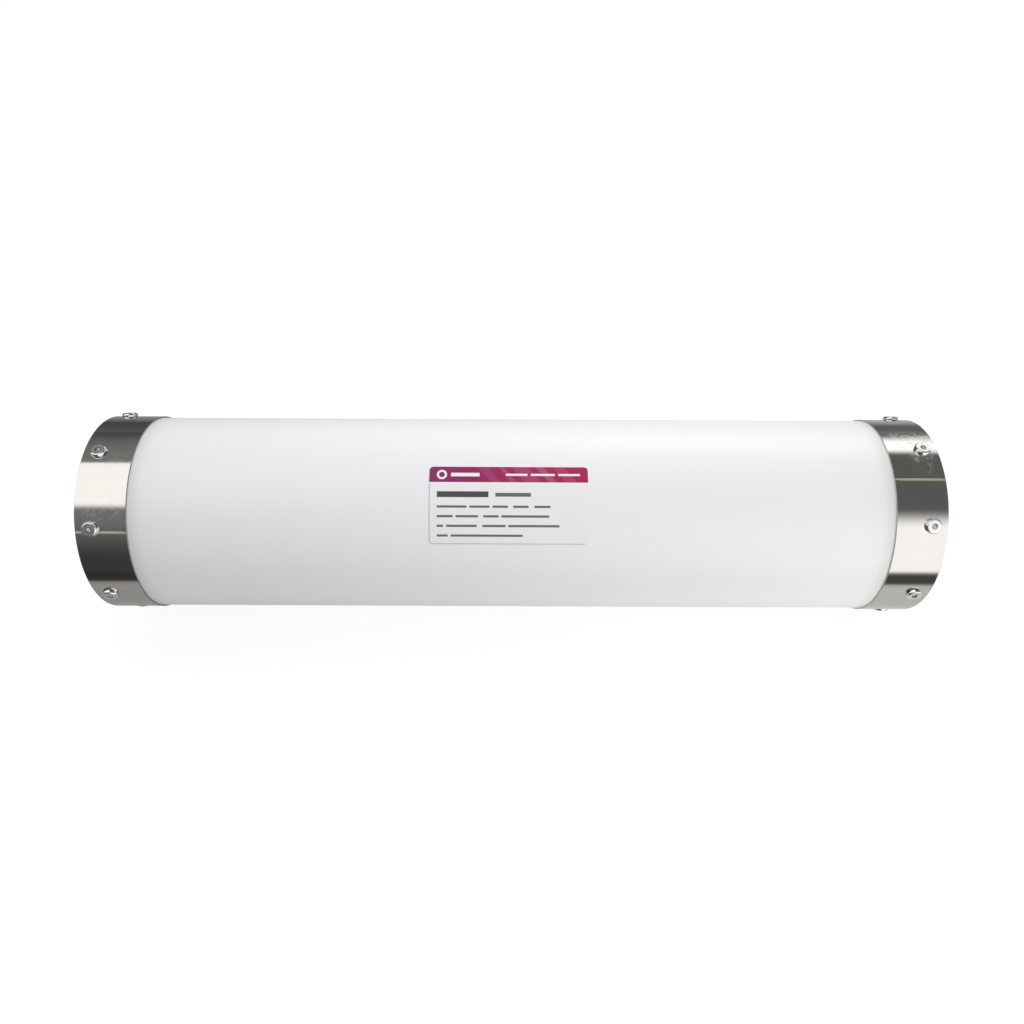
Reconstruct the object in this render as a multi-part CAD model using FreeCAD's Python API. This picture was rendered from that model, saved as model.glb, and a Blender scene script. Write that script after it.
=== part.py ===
import FreeCAD, Part
import math
import os

# Flash chromatography cartridge lying on its side, in millimetres.
# +X runs along the tube from inlet to outlet and +Z is up.
# The origin is on the surface that the cartridge lies on, below the middle of the tube.
# An angle round the tube starts at -Y and rises over +Z.
# Each end is drawn with its rim at x = 0 and the inside of the tube towards +X.

# Barrel
BARREL_LENGTH = 760.0
BARREL_RADIUS = 91.0
BARREL_WALL = 4.75
BARREL_LEAD_IN_DEPTH = 3.0
BARREL_LEAD_IN_RISE = 1.0
BARREL_EDGE_BREAK = 0.6

# Steel bands round the ends
BAND_WIDTH = 45.0
BAND_THICKNESS = 1.2
BAND_CLEARANCE = 0.05
BAND_EDGE_BREAK = 0.25

# Radial screws: M8 button heads with a hex socket
SCREW_COUNT = 8
SCREW_INSET = 13.5
SCREW_RADIUS = 4.0
SCREW_LENGTH = 20.0
SCREW_TIP_CHAMFER = 1.0
SCREW_HEAD_RADIUS = 7.0
SCREW_HEAD_HEIGHT = 3.2
SCREW_HEAD_RIM = 0.9
SCREW_HEAD_SHOULDER = 1.0
SCREW_SHOULDER_BULGE = 0.3
SCREW_HOLE_CLEARANCE = 0.5
THREAD_CLEARANCE = 0.05
SOCKET_ACROSS_FLATS = 4.0
SOCKET_DEPTH = 2.0
SOCKET_TIP_DEPTH = 0.6
SOCKET_TURN_STEP = 23.0
FIRST_SCREW_ANGLE = 22.5
INLET_SCREW_TURN = -2.6
OUTLET_SCREW_TURN = 1.4

# End plugs
PLUG_RECESS = 2.0
PLUG_CLEARANCE = 0.25
PLUG_CHAMFER = 1.5
TAPPED_HOLE_SPARE_DEPTH = 3.0
DRILL_POINT_ANGLE = 118.0

# O-rings in the plug's grooves
SEAL_GROOVE_DEPTH = 4.4
SEAL_GROOVE_WIDTH = 7.0
SEAL_SIDE_CLEARANCE = 0.5
SEAL_SEAT_CLEARANCE = 0.03
SCREW_TO_GROOVE_LAND = 5.0
BETWEEN_GROOVES_LAND = 2.0
INNER_END_LAND = 3.5

# Port fitting in the middle of the plug
PORT_FLANGE_RADIUS = 17.0
PORT_FLANGE_THICKNESS = 4.0
PORT_FLANGE_CHAMFER = 0.6
PORT_BODY_RADIUS = 12.0
PORT_BODY_LENGTH = 24.0
PORT_THREAD_RADIUS = 7.6
PORT_THREAD_DEPTH = 16.0
PORT_MOUTH_CHAMFER = 1.0
PORT_FLOW_RADIUS = 3.0
PORT_FLANGE_CLEARANCE = 0.3
PORT_END_CLEARANCE = 0.5
SPANNER_HOLE_RADIUS = 2.0
SPANNER_HOLE_DEPTH = 2.5
SPANNER_HOLE_COUNT = 2
GASKET_THICKNESS = 1.5
GASKET_BORE_CLEARANCE = 0.3
GASKET_RIM_INSET = 0.5

# Flow distributor plate
DISTRIBUTOR_WEB = 2.0
DISTRIBUTOR_CLEARANCE = 0.25
DISTRIBUTOR_POOL_RADIUS = 9.0
CHANNEL_DEPTH = 2.0
CHANNEL_WIDTH = 3.0
CHANNEL_SPOKES = 8
CHANNEL_RIM_INSET = 16.0
FEED_HOLE_RADIUS = 1.25

# Frit and silica bed
FRIT_THICKNESS = 4.0
FRIT_CLEARANCE = 0.1
BED_CLEARANCE = 0.05

# Label
LABEL_LENGTH = 139.0
LABEL_ARC_HEIGHT = 69.8
LABEL_THICKNESS = 0.2
LABEL_CORNER_RADIUS = 3.5
LABEL_OFFSET = -2.8
LABEL_ANGLE = 79.2
LABEL_GLUE_GAP = 0.08

# Sizes that follow from those above
BORE_RADIUS = BARREL_RADIUS - BARREL_WALL
BAND_INNER_RADIUS = BARREL_RADIUS + BAND_CLEARANCE
BAND_OUTER_RADIUS = BAND_INNER_RADIUS + BAND_THICKNESS
AXIS_HEIGHT = BAND_OUTER_RADIUS
PLUG_RADIUS = BORE_RADIUS - PLUG_CLEARANCE
SCREW_HOLE_RADIUS = SCREW_RADIUS + SCREW_HOLE_CLEARANCE
OUTER_GROOVE_START = SCREW_INSET + SCREW_RADIUS + SCREW_TO_GROOVE_LAND
INNER_GROOVE_START = OUTER_GROOVE_START + SEAL_GROOVE_WIDTH + BETWEEN_GROOVES_LAND
PLUG_END = INNER_GROOVE_START + SEAL_GROOVE_WIDTH + INNER_END_LAND
DISTRIBUTOR_THICKNESS = DISTRIBUTOR_WEB + CHANNEL_DEPTH
DISTRIBUTOR_RADIUS = BORE_RADIUS - DISTRIBUTOR_CLEARANCE
OUTER_CHANNEL_RADIUS = DISTRIBUTOR_RADIUS - CHANNEL_RIM_INSET
INNER_CHANNEL_RADIUS = OUTER_CHANNEL_RADIUS / 2
DISTRIBUTOR_END = PLUG_END + DISTRIBUTOR_THICKNESS
FRIT_END = DISTRIBUTOR_END + FRIT_THICKNESS
GASKET_SEAT = PORT_FLANGE_THICKNESS + GASKET_THICKNESS
PORT_BORE_END = PORT_FLANGE_THICKNESS + PORT_BODY_LENGTH + PORT_END_CLEARANCE
SPANNER_HOLE_CIRCLE = (PORT_THREAD_RADIUS + PORT_MOUTH_CHAMFER + PORT_FLANGE_RADIUS) / 2
TAPPED_HOLE_DEPTH = SCREW_LENGTH - (BAND_OUTER_RADIUS - PLUG_RADIUS) + TAPPED_HOLE_SPARE_DEPTH

ORIGIN = FreeCAD.Vector(0, 0, 0)
X_AXIS = FreeCAD.Vector(1, 0, 0)
Z_AXIS = FreeCAD.Vector(0, 0, 1)


def turned(outline):
    """Solid turned about the X axis from (x, radius) points."""
    points = [FreeCAD.Vector(x, 0, radius) for x, radius in outline]
    profile = Part.Face(Part.makePolygon(points + points[:1]))
    return profile.revolve(ORIGIN, X_AXIS, 360)


def radial(shape, x, angle):
    """Turns a shape drawn along +Z so that it points out of the tube at an angle, and moves it to x."""
    placed = shape.copy()
    placed.rotate(ORIGIN, X_AXIS, 90 - angle)
    placed.translate(FreeCAD.Vector(x, 0, 0))
    return placed


def drill(radius, top, depth):
    """Drilled hole along -Z from a height, with the drill's point at its bottom."""
    point_height = radius / math.tan(math.radians(DRILL_POINT_ANGLE / 2))
    shaft = Part.makeCylinder(radius, depth, FreeCAD.Vector(0, 0, top - depth))
    point = Part.makeCone(0, radius, point_height, FreeCAD.Vector(0, 0, top - depth - point_height))
    return shaft.fuse(point)


def screw_angles(turn):
    """Angles of one end's screws round the tube."""
    step = 360 / SCREW_COUNT
    return [FIRST_SCREW_ANGLE + turn + step * index for index in range(SCREW_COUNT)]


def at_end(shape, side):
    """Moves a piece of an end to the inlet (side -1) or, mirrored, to the outlet (side +1)."""
    placed = shape.copy()
    if side > 0:
        placed = placed.mirror(ORIGIN, X_AXIS)
    placed.translate(FreeCAD.Vector(side * BARREL_LENGTH / 2, 0, AXIS_HEIGHT))
    return placed


def barrel():
    """Tube with a lead-in for the seals at each mouth and the screws' clearance holes."""
    middle = BARREL_LENGTH / 2
    outline = [
        (-middle, BORE_RADIUS + BARREL_LEAD_IN_RISE),
        (-middle, BARREL_RADIUS - BARREL_EDGE_BREAK),
        (BARREL_EDGE_BREAK - middle, BARREL_RADIUS),
        (middle - BARREL_EDGE_BREAK, BARREL_RADIUS),
        (middle, BARREL_RADIUS - BARREL_EDGE_BREAK),
        (middle, BORE_RADIUS + BARREL_LEAD_IN_RISE),
        (middle - BARREL_LEAD_IN_DEPTH, BORE_RADIUS),
        (BARREL_LEAD_IN_DEPTH - middle, BORE_RADIUS),
    ]
    tube = turned(outline)
    tube.translate(FreeCAD.Vector(0, 0, AXIS_HEIGHT))
    hole = Part.makeCylinder(SCREW_HOLE_RADIUS, BAND_OUTER_RADIUS)
    cutters = []
    for side, turn in ((-1, INLET_SCREW_TURN), (1, OUTLET_SCREW_TURN)):
        for angle in screw_angles(turn):
            cutters.append(at_end(radial(hole, SCREW_INSET, angle), side))
    return tube.cut(cutters)


def band(turn):
    """Rolled and welded band with broken edges and the screws' clearance holes."""
    outline = [
        (0, BAND_INNER_RADIUS),
        (0, BAND_OUTER_RADIUS - BAND_EDGE_BREAK),
        (BAND_EDGE_BREAK, BAND_OUTER_RADIUS),
        (BAND_WIDTH - BAND_EDGE_BREAK, BAND_OUTER_RADIUS),
        (BAND_WIDTH, BAND_OUTER_RADIUS - BAND_EDGE_BREAK),
        (BAND_WIDTH, BAND_INNER_RADIUS),
    ]
    hole = Part.makeCylinder(SCREW_HOLE_RADIUS, BAND_OUTER_RADIUS + BAND_THICKNESS)
    return turned(outline).cut([radial(hole, SCREW_INSET, angle) for angle in screw_angles(turn)])


def screw():
    """Button-head screw along +Z, with the underside of its head at z = 0."""
    tip = -SCREW_LENGTH
    rim_top = FreeCAD.Vector(SCREW_HEAD_RADIUS, 0, SCREW_HEAD_RIM)
    face_edge = FreeCAD.Vector(SCREW_HEAD_RADIUS - SCREW_HEAD_SHOULDER, 0, SCREW_HEAD_HEIGHT)
    chord = face_edge - rim_top
    outward = FreeCAD.Vector(chord.z, 0, -chord.x).normalize()
    shoulder_middle = (rim_top + face_edge) * 0.5 + outward * SCREW_SHOULDER_BULGE
    lower = [
        FreeCAD.Vector(0, 0, SCREW_HEAD_HEIGHT),
        FreeCAD.Vector(0, 0, tip),
        FreeCAD.Vector(SCREW_RADIUS - SCREW_TIP_CHAMFER, 0, tip),
        FreeCAD.Vector(SCREW_RADIUS, 0, tip + SCREW_TIP_CHAMFER),
        FreeCAD.Vector(SCREW_RADIUS, 0, 0),
        FreeCAD.Vector(SCREW_HEAD_RADIUS, 0, 0),
        rim_top,
    ]
    edges = list(Part.makePolygon(lower).Edges)
    edges.append(Part.Arc(rim_top, shoulder_middle, face_edge).toShape())
    edges.append(Part.makeLine(face_edge, lower[0]))
    blank = Part.Face(Part.Wire(edges)).revolve(ORIGIN, Z_AXIS, 360)
    return blank.cut(hex_socket())


def hex_socket():
    """Hexagonal recess in a screw's head, with a conical bottom."""
    corner_radius = SOCKET_ACROSS_FLATS / math.sqrt(3)
    floor = SCREW_HEAD_HEIGHT - SOCKET_DEPTH
    corners = []
    for index in range(6):
        turn = math.radians(60 * index)
        corner = FreeCAD.Vector(corner_radius * math.cos(turn), corner_radius * math.sin(turn), floor)
        corners.append(corner)
    hexagon = Part.Face(Part.makePolygon(corners + corners[:1]))
    recess = hexagon.extrude(FreeCAD.Vector(0, 0, SOCKET_DEPTH))
    tip = Part.makeCone(0, SOCKET_ACROSS_FLATS / 2, SOCKET_TIP_DEPTH,
                        FreeCAD.Vector(0, 0, floor - SOCKET_TIP_DEPTH))
    return recess.fuse(tip)


def screws(turn):
    """One end's screws, seated on the band, each with its socket left at its own turn."""
    solids = []
    for index, angle in enumerate(screw_angles(turn)):
        one = screw()
        one.rotate(ORIGIN, Z_AXIS, SOCKET_TURN_STEP * index)
        one.translate(FreeCAD.Vector(0, 0, BAND_OUTER_RADIUS))
        solids.append(radial(one, SCREW_INSET, angle))
    return Part.makeCompound(solids)


def plug(turn):
    """End plug with two seal grooves, tapped holes for the screws and the port's stepped bore."""
    floor = PLUG_RADIUS - SEAL_GROOVE_DEPTH
    outline = [
        (PLUG_RECESS, 0),
        (PLUG_RECESS, PLUG_RADIUS - PLUG_CHAMFER),
        (PLUG_RECESS + PLUG_CHAMFER, PLUG_RADIUS),
    ]
    for near in (OUTER_GROOVE_START, INNER_GROOVE_START):
        far = near + SEAL_GROOVE_WIDTH
        outline += [(near, PLUG_RADIUS), (near, floor), (far, floor), (far, PLUG_RADIUS)]
    outline += [(PLUG_END, PLUG_RADIUS), (PLUG_END, 0)]
    body = turned(outline)
    tapped = drill(SCREW_RADIUS + THREAD_CLEARANCE, PLUG_RADIUS, TAPPED_HOLE_DEPTH)
    cutters = [radial(tapped, SCREW_INSET, angle) for angle in screw_angles(turn)]
    cutters.append(port_bore())
    return body.cut(cutters)


def port_bore():
    """Stepped hole through the plug: flange recess, tapped bore and flow passage."""
    recess_radius = PORT_FLANGE_RADIUS + PORT_FLANGE_CLEARANCE
    body_radius = PORT_BODY_RADIUS + THREAD_CLEARANCE
    face = PLUG_RECESS
    return turned([
        (face, 0),
        (face, recess_radius),
        (face + GASKET_SEAT, recess_radius),
        (face + GASKET_SEAT, body_radius),
        (face + PORT_BORE_END, body_radius),
        (face + PORT_BORE_END, PORT_FLOW_RADIUS),
        (PLUG_END, PORT_FLOW_RADIUS),
        (PLUG_END, 0),
    ])


def seal(groove_start):
    """O-ring squeezed to an oval section between its groove and the barrel."""
    inner = PLUG_RADIUS - SEAL_GROOVE_DEPTH + SEAL_SEAT_CLEARANCE
    outer = BORE_RADIUS - SEAL_SEAT_CLEARANCE
    centre = FreeCAD.Vector(groove_start + SEAL_GROOVE_WIDTH / 2, 0, (inner + outer) / 2)
    along_tube = centre + X_AXIS * (SEAL_GROOVE_WIDTH / 2 - SEAL_SIDE_CLEARANCE)
    across = centre + Z_AXIS * ((outer - inner) / 2)
    section = Part.Ellipse(along_tube, across, centre).toShape()
    return Part.Face(Part.Wire([section])).revolve(ORIGIN, X_AXIS, 360)


def port_fitting():
    """Flanged bushing, flush with the plug, with a threaded mouth and two spanner holes."""
    flange = PORT_FLANGE_THICKNESS
    end = PORT_FLANGE_THICKNESS + PORT_BODY_LENGTH
    outline = [
        (0, PORT_THREAD_RADIUS + PORT_MOUTH_CHAMFER),
        (0, PORT_FLANGE_RADIUS - PORT_FLANGE_CHAMFER),
        (PORT_FLANGE_CHAMFER, PORT_FLANGE_RADIUS),
        (flange, PORT_FLANGE_RADIUS),
        (flange, PORT_BODY_RADIUS),
        (end, PORT_BODY_RADIUS),
        (end, PORT_FLOW_RADIUS),
        (PORT_THREAD_DEPTH, PORT_FLOW_RADIUS),
        (PORT_THREAD_DEPTH, PORT_THREAD_RADIUS),
        (PORT_MOUTH_CHAMFER, PORT_THREAD_RADIUS),
    ]
    bushing = turned(outline)
    holes = []
    for index in range(SPANNER_HOLE_COUNT):
        turn = 2 * math.pi * index / SPANNER_HOLE_COUNT
        centre = FreeCAD.Vector(0, math.cos(turn), math.sin(turn)) * SPANNER_HOLE_CIRCLE
        holes.append(Part.makeCylinder(SPANNER_HOLE_RADIUS, SPANNER_HOLE_DEPTH, centre, X_AXIS))
    bushing = bushing.cut(holes)
    bushing.translate(FreeCAD.Vector(PLUG_RECESS, 0, 0))
    return bushing


def port_gasket():
    """Flat gasket between the fitting's flange and its seat in the plug."""
    inner = PORT_BODY_RADIUS + GASKET_BORE_CLEARANCE
    outer = PORT_FLANGE_RADIUS - GASKET_RIM_INSET
    near = PLUG_RECESS + PORT_FLANGE_THICKNESS
    far = PLUG_RECESS + GASKET_SEAT
    return turned([(near, inner), (near, outer), (far, outer), (far, inner)])


def distributor():
    """Plate with channels that lead the flow out to rings of feed holes."""
    face = FreeCAD.Vector(PLUG_END, 0, 0)
    plate = Part.makeCylinder(DISTRIBUTOR_RADIUS, DISTRIBUTOR_THICKNESS, face, X_AXIS)
    cutters = [Part.makeCylinder(DISTRIBUTOR_POOL_RADIUS, CHANNEL_DEPTH, face, X_AXIS)]
    for ring in (INNER_CHANNEL_RADIUS, OUTER_CHANNEL_RADIUS):
        outer = Part.makeCylinder(ring + CHANNEL_WIDTH / 2, CHANNEL_DEPTH, face, X_AXIS)
        inner = Part.makeCylinder(ring - CHANNEL_WIDTH / 2, CHANNEL_DEPTH, face, X_AXIS)
        cutters.append(outer.cut(inner))
    for index in range(CHANNEL_SPOKES):
        turn = 360 * index / CHANNEL_SPOKES
        spoke = Part.makeBox(CHANNEL_DEPTH, CHANNEL_WIDTH, OUTER_CHANNEL_RADIUS,
                             FreeCAD.Vector(PLUG_END, -CHANNEL_WIDTH / 2, 0))
        spoke.rotate(ORIGIN, X_AXIS, turn)
        cutters.append(spoke)
        for ring in (INNER_CHANNEL_RADIUS, OUTER_CHANNEL_RADIUS):
            feed = Part.makeCylinder(FEED_HOLE_RADIUS, DISTRIBUTOR_THICKNESS,
                                     FreeCAD.Vector(PLUG_END, 0, ring), X_AXIS)
            feed.rotate(ORIGIN, X_AXIS, turn + 180 / CHANNEL_SPOKES)
            cutters.append(feed)
    return plate.cut(cutters)


def frit():
    """Sintered disc between the distributor and the silica."""
    radius = BORE_RADIUS - FRIT_CLEARANCE
    return Part.makeCylinder(radius, FRIT_THICKNESS, FreeCAD.Vector(DISTRIBUTOR_END, 0, 0), X_AXIS)


def silica_bed():
    """Packed silica between the two frits."""
    length = BARREL_LENGTH - 2 * FRIT_END
    start = FreeCAD.Vector(-length / 2, 0, AXIS_HEIGHT)
    return Part.makeCylinder(BORE_RADIUS - BED_CLEARANCE, length, start, X_AXIS)


def label():
    """Thin label with rounded corners, bent round the barrel."""
    inner = BARREL_RADIUS + LABEL_GLUE_GAP
    outer = inner + LABEL_THICKNESS
    half_angle = LABEL_ARC_HEIGHT / BARREL_RADIUS / 2
    half_chord = outer * math.sin(half_angle)
    sheet = turned([
        (-LABEL_LENGTH / 2, inner),
        (-LABEL_LENGTH / 2, outer),
        (LABEL_LENGTH / 2, outer),
        (LABEL_LENGTH / 2, inner),
    ])
    block = Part.makeBox(LABEL_LENGTH, 2 * half_chord, 2 * outer,
                         FreeCAD.Vector(-LABEL_LENGTH / 2, -half_chord, 0))
    corners = [edge for edge in block.Edges if abs(edge.tangentAt(edge.FirstParameter).z) > 0.5]
    outline = block.makeFillet(LABEL_CORNER_RADIUS, corners)
    piece = radial(sheet.common(outline), LABEL_OFFSET, LABEL_ANGLE)
    piece.translate(FreeCAD.Vector(0, 0, AXIS_HEIGHT))
    return piece


def end_pieces(turn):
    """Pieces of one end, keyed by the second half of their names."""
    return {
        "band": band(turn),
        "screws": screws(turn),
        "plug": plug(turn),
        "outer_seal": seal(OUTER_GROOVE_START),
        "inner_seal": seal(INNER_GROOVE_START),
        "port_fitting": port_fitting(),
        "port_gasket": port_gasket(),
        "distributor": distributor(),
        "frit": frit(),
    }


def cartridge():
    """All pieces in place, keyed by name."""
    pieces = {"barrel": barrel(), "silica_bed": silica_bed(), "label": label()}
    for end, side, turn in (("inlet", -1, INLET_SCREW_TURN), ("outlet", 1, OUTLET_SCREW_TURN)):
        for name, shape in end_pieces(turn).items():
            pieces[end + "_" + name] = at_end(shape, side)
    return pieces


os.makedirs("parts", exist_ok=True)
for name, shape in cartridge().items():
    shape.exportStep("parts/" + name + ".step")
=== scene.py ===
"""Looks of a preparative flash chromatography cartridge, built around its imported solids.

The cartridge lies along X on a pale floor: a white plastic tube closed at each end by a plug, which eight
button-head screws hold through a stainless band. Angles round the tube start at -Y and rise over +Z.
"""

from __future__ import annotations

import logging
import math
from dataclasses import dataclass
from enum import Enum
from typing import Any, Iterable, Sequence

import bmesh
import bpy
from mathutils import Matrix, Vector


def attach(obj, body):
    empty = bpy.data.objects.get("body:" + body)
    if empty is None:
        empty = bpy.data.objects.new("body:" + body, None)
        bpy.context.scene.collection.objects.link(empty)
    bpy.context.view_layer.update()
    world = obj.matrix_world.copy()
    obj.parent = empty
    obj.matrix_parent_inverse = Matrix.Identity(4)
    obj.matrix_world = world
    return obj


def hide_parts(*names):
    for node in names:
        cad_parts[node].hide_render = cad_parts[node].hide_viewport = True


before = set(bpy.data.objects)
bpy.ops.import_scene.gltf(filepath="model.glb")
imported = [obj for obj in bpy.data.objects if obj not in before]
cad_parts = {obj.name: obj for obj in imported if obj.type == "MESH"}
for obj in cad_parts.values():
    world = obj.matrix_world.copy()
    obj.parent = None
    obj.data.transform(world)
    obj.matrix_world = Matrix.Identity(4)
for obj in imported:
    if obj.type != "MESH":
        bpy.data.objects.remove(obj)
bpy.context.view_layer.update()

log = logging.getLogger("cartridge")

MM = 0.001
AXIS_HEIGHT = 92.25 * MM
TUBE_HALF_LENGTH = 380 * MM
TUBE_RADIUS = 91 * MM
BORE_RADIUS = 86.25 * MM
BAND_WIDTH = 45 * MM
BAND_INNER_RADIUS = 91.05 * MM
BAND_OUTER_RADIUS = 92.25 * MM
SCREW_COUNT = 8
SCREW_STATION = TUBE_HALF_LENGTH - 13.5 * MM
SCREW_HOLE_RADIUS = 4.5 * MM
COLUMNS = 288
WINDOW_CELLS = 4
WINDOW_HALF_LENGTH = 8 * MM
LABEL_LENGTH = 139 * MM
LABEL_HEIGHT = 69.8 * MM
LABEL_CORNER = 3.5 * MM
SCREW_PLACE = "on_screw"
SMOOTH_BELOW = 32.0
MERGE_DISTANCE = 1e-7
EDGE_STEPS = 4

Colour = tuple[float, float, float]
Point = tuple[float, float, float]
Face = tuple[int, ...]


class End(Enum):
    """The two ends of the cartridge."""

    INLET = "inlet"
    OUTLET = "outlet"

    @property
    def side(self) -> int:
        """Sign of X at this end."""
        return -1 if self is End.INLET else 1

    @property
    def first_screw(self) -> float:
        """Angle of the first screw round the tube, in degrees."""
        return 19.9 if self is End.INLET else 23.9

    def node(self, name: str) -> str:
        """Name of one of this end's nodes."""
        return f"{self.value}_{name}"

    def along(self, depth: float) -> float:
        """X of a place that lies a depth in metres inside the tube's mouth."""
        return self.side * (TUBE_HALF_LENGTH - depth)


class Coordinates(Enum):
    """What a pattern follows."""

    OBJECT = "Object"
    UV = "UV"


# Shader nodes


class Signal:
    """A node's output that takes part in sums, each of which adds a Math node."""

    def __init__(self, graph: Graph, socket: bpy.types.NodeSocket) -> None:
        """Keeps the graph and the socket."""
        self.graph = graph
        self.socket = socket

    def math(self, operation: str, *others: Any, first: Any = None) -> Signal:
        """Adds a Math node.

        Args:
            operation: the Math node's operation.
            others: the values after this signal.
            first: a value that goes before this signal.

        Returns:
            The node's output.
        """
        values = [self, *others] if first is None else [first, self, *others]
        return self.graph.node("ShaderNodeMath", {"operation": operation}, dict(enumerate(values)))

    def __add__(self, other: Any) -> Signal:
        """Sum."""
        return self.math("ADD", other)

    __radd__ = __add__

    def __sub__(self, other: Any) -> Signal:
        """Difference."""
        return self.math("SUBTRACT", other)

    def __rsub__(self, other: Any) -> Signal:
        """Difference from a number."""
        return self.math("SUBTRACT", first=other)

    def __mul__(self, other: Any) -> Signal:
        """Product."""
        return self.math("MULTIPLY", other)

    __rmul__ = __mul__

    def __truediv__(self, other: Any) -> Signal:
        """Quotient."""
        return self.math("DIVIDE", other)

    def __abs__(self) -> Signal:
        """Size without sign."""
        return self.math("ABSOLUTE")

    def rise(self, low: float, high: float) -> Signal:
        """Smooth step from 0 at low to 1 at high, which may be the smaller of the two.

        Args:
            low: value at which the result is 0.
            high: value at which the result is 1.

        Returns:
            The step.
        """
        settings = {"interpolation_type": "SMOOTHSTEP", "clamp": True}
        inputs = {0: self, 1: min(low, high), 2: max(low, high), 3: float(low > high), 4: float(low < high)}
        return self.graph.node("ShaderNodeMapRange", settings, inputs)

    def inside(self, low: float, high: float, blur: float) -> Signal:
        """Mask of the values between two edges.

        Args:
            low: lower edge.
            high: upper edge.
            blur: width of the soft edge.

        Returns:
            The mask.
        """
        half = blur / 2
        return self.rise(low - half, low + half) * self.rise(high + half, high - half)

    def ramp(self, stops: Sequence[tuple[float, Any]], interpolation: str = "LINEAR") -> Signal:
        """Colour ramp.

        Args:
            stops: place and grey level or colour of each stop.
            interpolation: how the ramp goes from stop to stop.

        Returns:
            The ramp's colour.
        """
        settings = {"stops": stops, "interpolation": interpolation}
        return self.graph.node("ShaderNodeValToRGB", settings, {0: self})


class Graph:
    """A node tree that is filled with one call per node."""

    def __init__(self, tree: bpy.types.NodeTree) -> None:
        """Empties the tree."""
        self.tree = tree
        tree.nodes.clear()

    def node(self, kind: str, settings: dict[str, Any] | None = None, inputs: dict[Any, Any] | None = None,
             output: int | str = 0) -> Signal:
        """Adds any node.

        Args:
            kind: the node's type.
            settings: its properties; stops and interpolation are those of a colour ramp.
            inputs: values or signals by socket index or name.
            output: index or name of the output that is returned.

        Returns:
            The chosen output.
        """
        return Signal(self, self.place(kind, settings or {}, inputs or {}).outputs[output])

    def place(self, kind: str, settings: dict[str, Any], inputs: dict[Any, Any]) -> bpy.types.Node:
        """Adds a node and fills its sockets.

        Args:
            kind: the node's type.
            settings: its properties.
            inputs: values or signals by socket index or name.

        Returns:
            The node itself, also where it has no output.
        """
        made = self.tree.nodes.new(kind)
        for key, value in settings.items():
            if key == "stops":
                self._set_stops(made.color_ramp, value)
            elif key == "interpolation" and kind == "ShaderNodeValToRGB":
                made.color_ramp.interpolation = value
            else:
                setattr(made, key, value)
        for key, value in inputs.items():
            if isinstance(value, Signal):
                self.tree.links.new(value.socket, made.inputs[key])
            else:
                made.inputs[key].default_value = value
        return made

    @staticmethod
    def _set_stops(ramp: bpy.types.ColorRamp, stops: Sequence[tuple[float, Any]]) -> None:
        """Gives a colour ramp its stops."""
        while len(ramp.elements) < len(stops):
            ramp.elements.new(1.0)
        for element, (place, tone) in zip(ramp.elements, stops):
            element.position = place
            element.color = (*tone, 1.0) if isinstance(tone, tuple) else (tone, tone, tone, 1.0)

    def coordinates(self, kind: Coordinates) -> Signal:
        """Object coordinates in metres or the piece's own UV map."""
        return self.node("ShaderNodeTexCoord", output=kind.value)

    def split(self, vector: Signal) -> tuple[Signal, Signal, Signal]:
        """The three parts of a vector."""
        first = self.node("ShaderNodeSeparateXYZ", {}, {0: vector})
        outputs = first.socket.node.outputs
        return first, Signal(self, outputs[1]), Signal(self, outputs[2])

    def join(self, x: Any, y: Any, z: Any) -> Signal:
        """Vector of three parts."""
        return self.node("ShaderNodeCombineXYZ", {}, {0: x, 1: y, 2: z})

    def stretched(self, vector: Signal, scale: Point) -> Signal:
        """Vector with each part multiplied."""
        return self.node("ShaderNodeVectorMath", {"operation": "MULTIPLY"}, {0: vector, 1: scale})

    def mix(self, factor: Any, first: Any, second: Any) -> Signal:
        """Mix of two colours."""
        tones = [(*tone, 1.0) if isinstance(tone, tuple) else tone for tone in (first, second)]
        return self.node("ShaderNodeMix", {"data_type": "RGBA"}, {0: factor, 6: tones[0], 7: tones[1]}, 2)

    def bump(self, height: Signal, distance: float) -> Signal:
        """Normal of a surface raised by a height between 0 and 1 times a distance in metres."""
        return self.node("ShaderNodeBump", {}, {"Height": height, "Distance": distance, "Strength": 1.0})

    def matt(self, colour: Colour) -> Signal:
        """Diffuse shader of a colour."""
        return self.node("ShaderNodeBsdfDiffuse", {}, {"Color": (*colour, 1.0)})

    def glow(self, colour: Any) -> Signal:
        """Emission shader of a colour or signal."""
        tone = (*colour, 1.0) if isinstance(colour, tuple) else colour
        return self.node("ShaderNodeEmission", {}, {"Color": tone, "Strength": 1.0})

    def add(self, first: Signal, second: Signal) -> Signal:
        """Sum of two shaders."""
        return self.node("ShaderNodeAddShader", {}, {0: first, 1: second})

    def blend(self, factor: Signal, first: Signal, second: Signal) -> Signal:
        """Mix of two shaders."""
        return self.node("ShaderNodeMixShader", {}, {0: factor, 1: first, 2: second})

    def surface(self, shader: Signal, kind: str = "ShaderNodeOutputMaterial") -> None:
        """Ends the tree in its output."""
        self.place(kind, {}, {"Surface": shader})


@dataclass(frozen=True)
class Pattern:
    """Noise on a piece: how fine it is along each axis, per metre, its octaves and their weight."""

    fineness: Point
    detail: float = 3.0
    roughness: float = 0.6

    def on(self, graph: Graph, vector: Signal) -> Signal:
        """The pattern's value from 0 to 1.

        Args:
            graph: the material's nodes.
            vector: the place on the piece, in metres.

        Returns:
            The value.
        """
        values = {"Vector": graph.stretched(vector, self.fineness), "Scale": 1.0, "Detail": self.detail,
                  "Roughness": self.roughness}
        return graph.node("ShaderNodeTexNoise", {}, values)


@dataclass(frozen=True)
class Place:
    """Where a point lies on the cartridge, as signals in metres and degrees."""

    vector: Signal
    x: Signal
    radius: Signal
    angle: Signal


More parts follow.
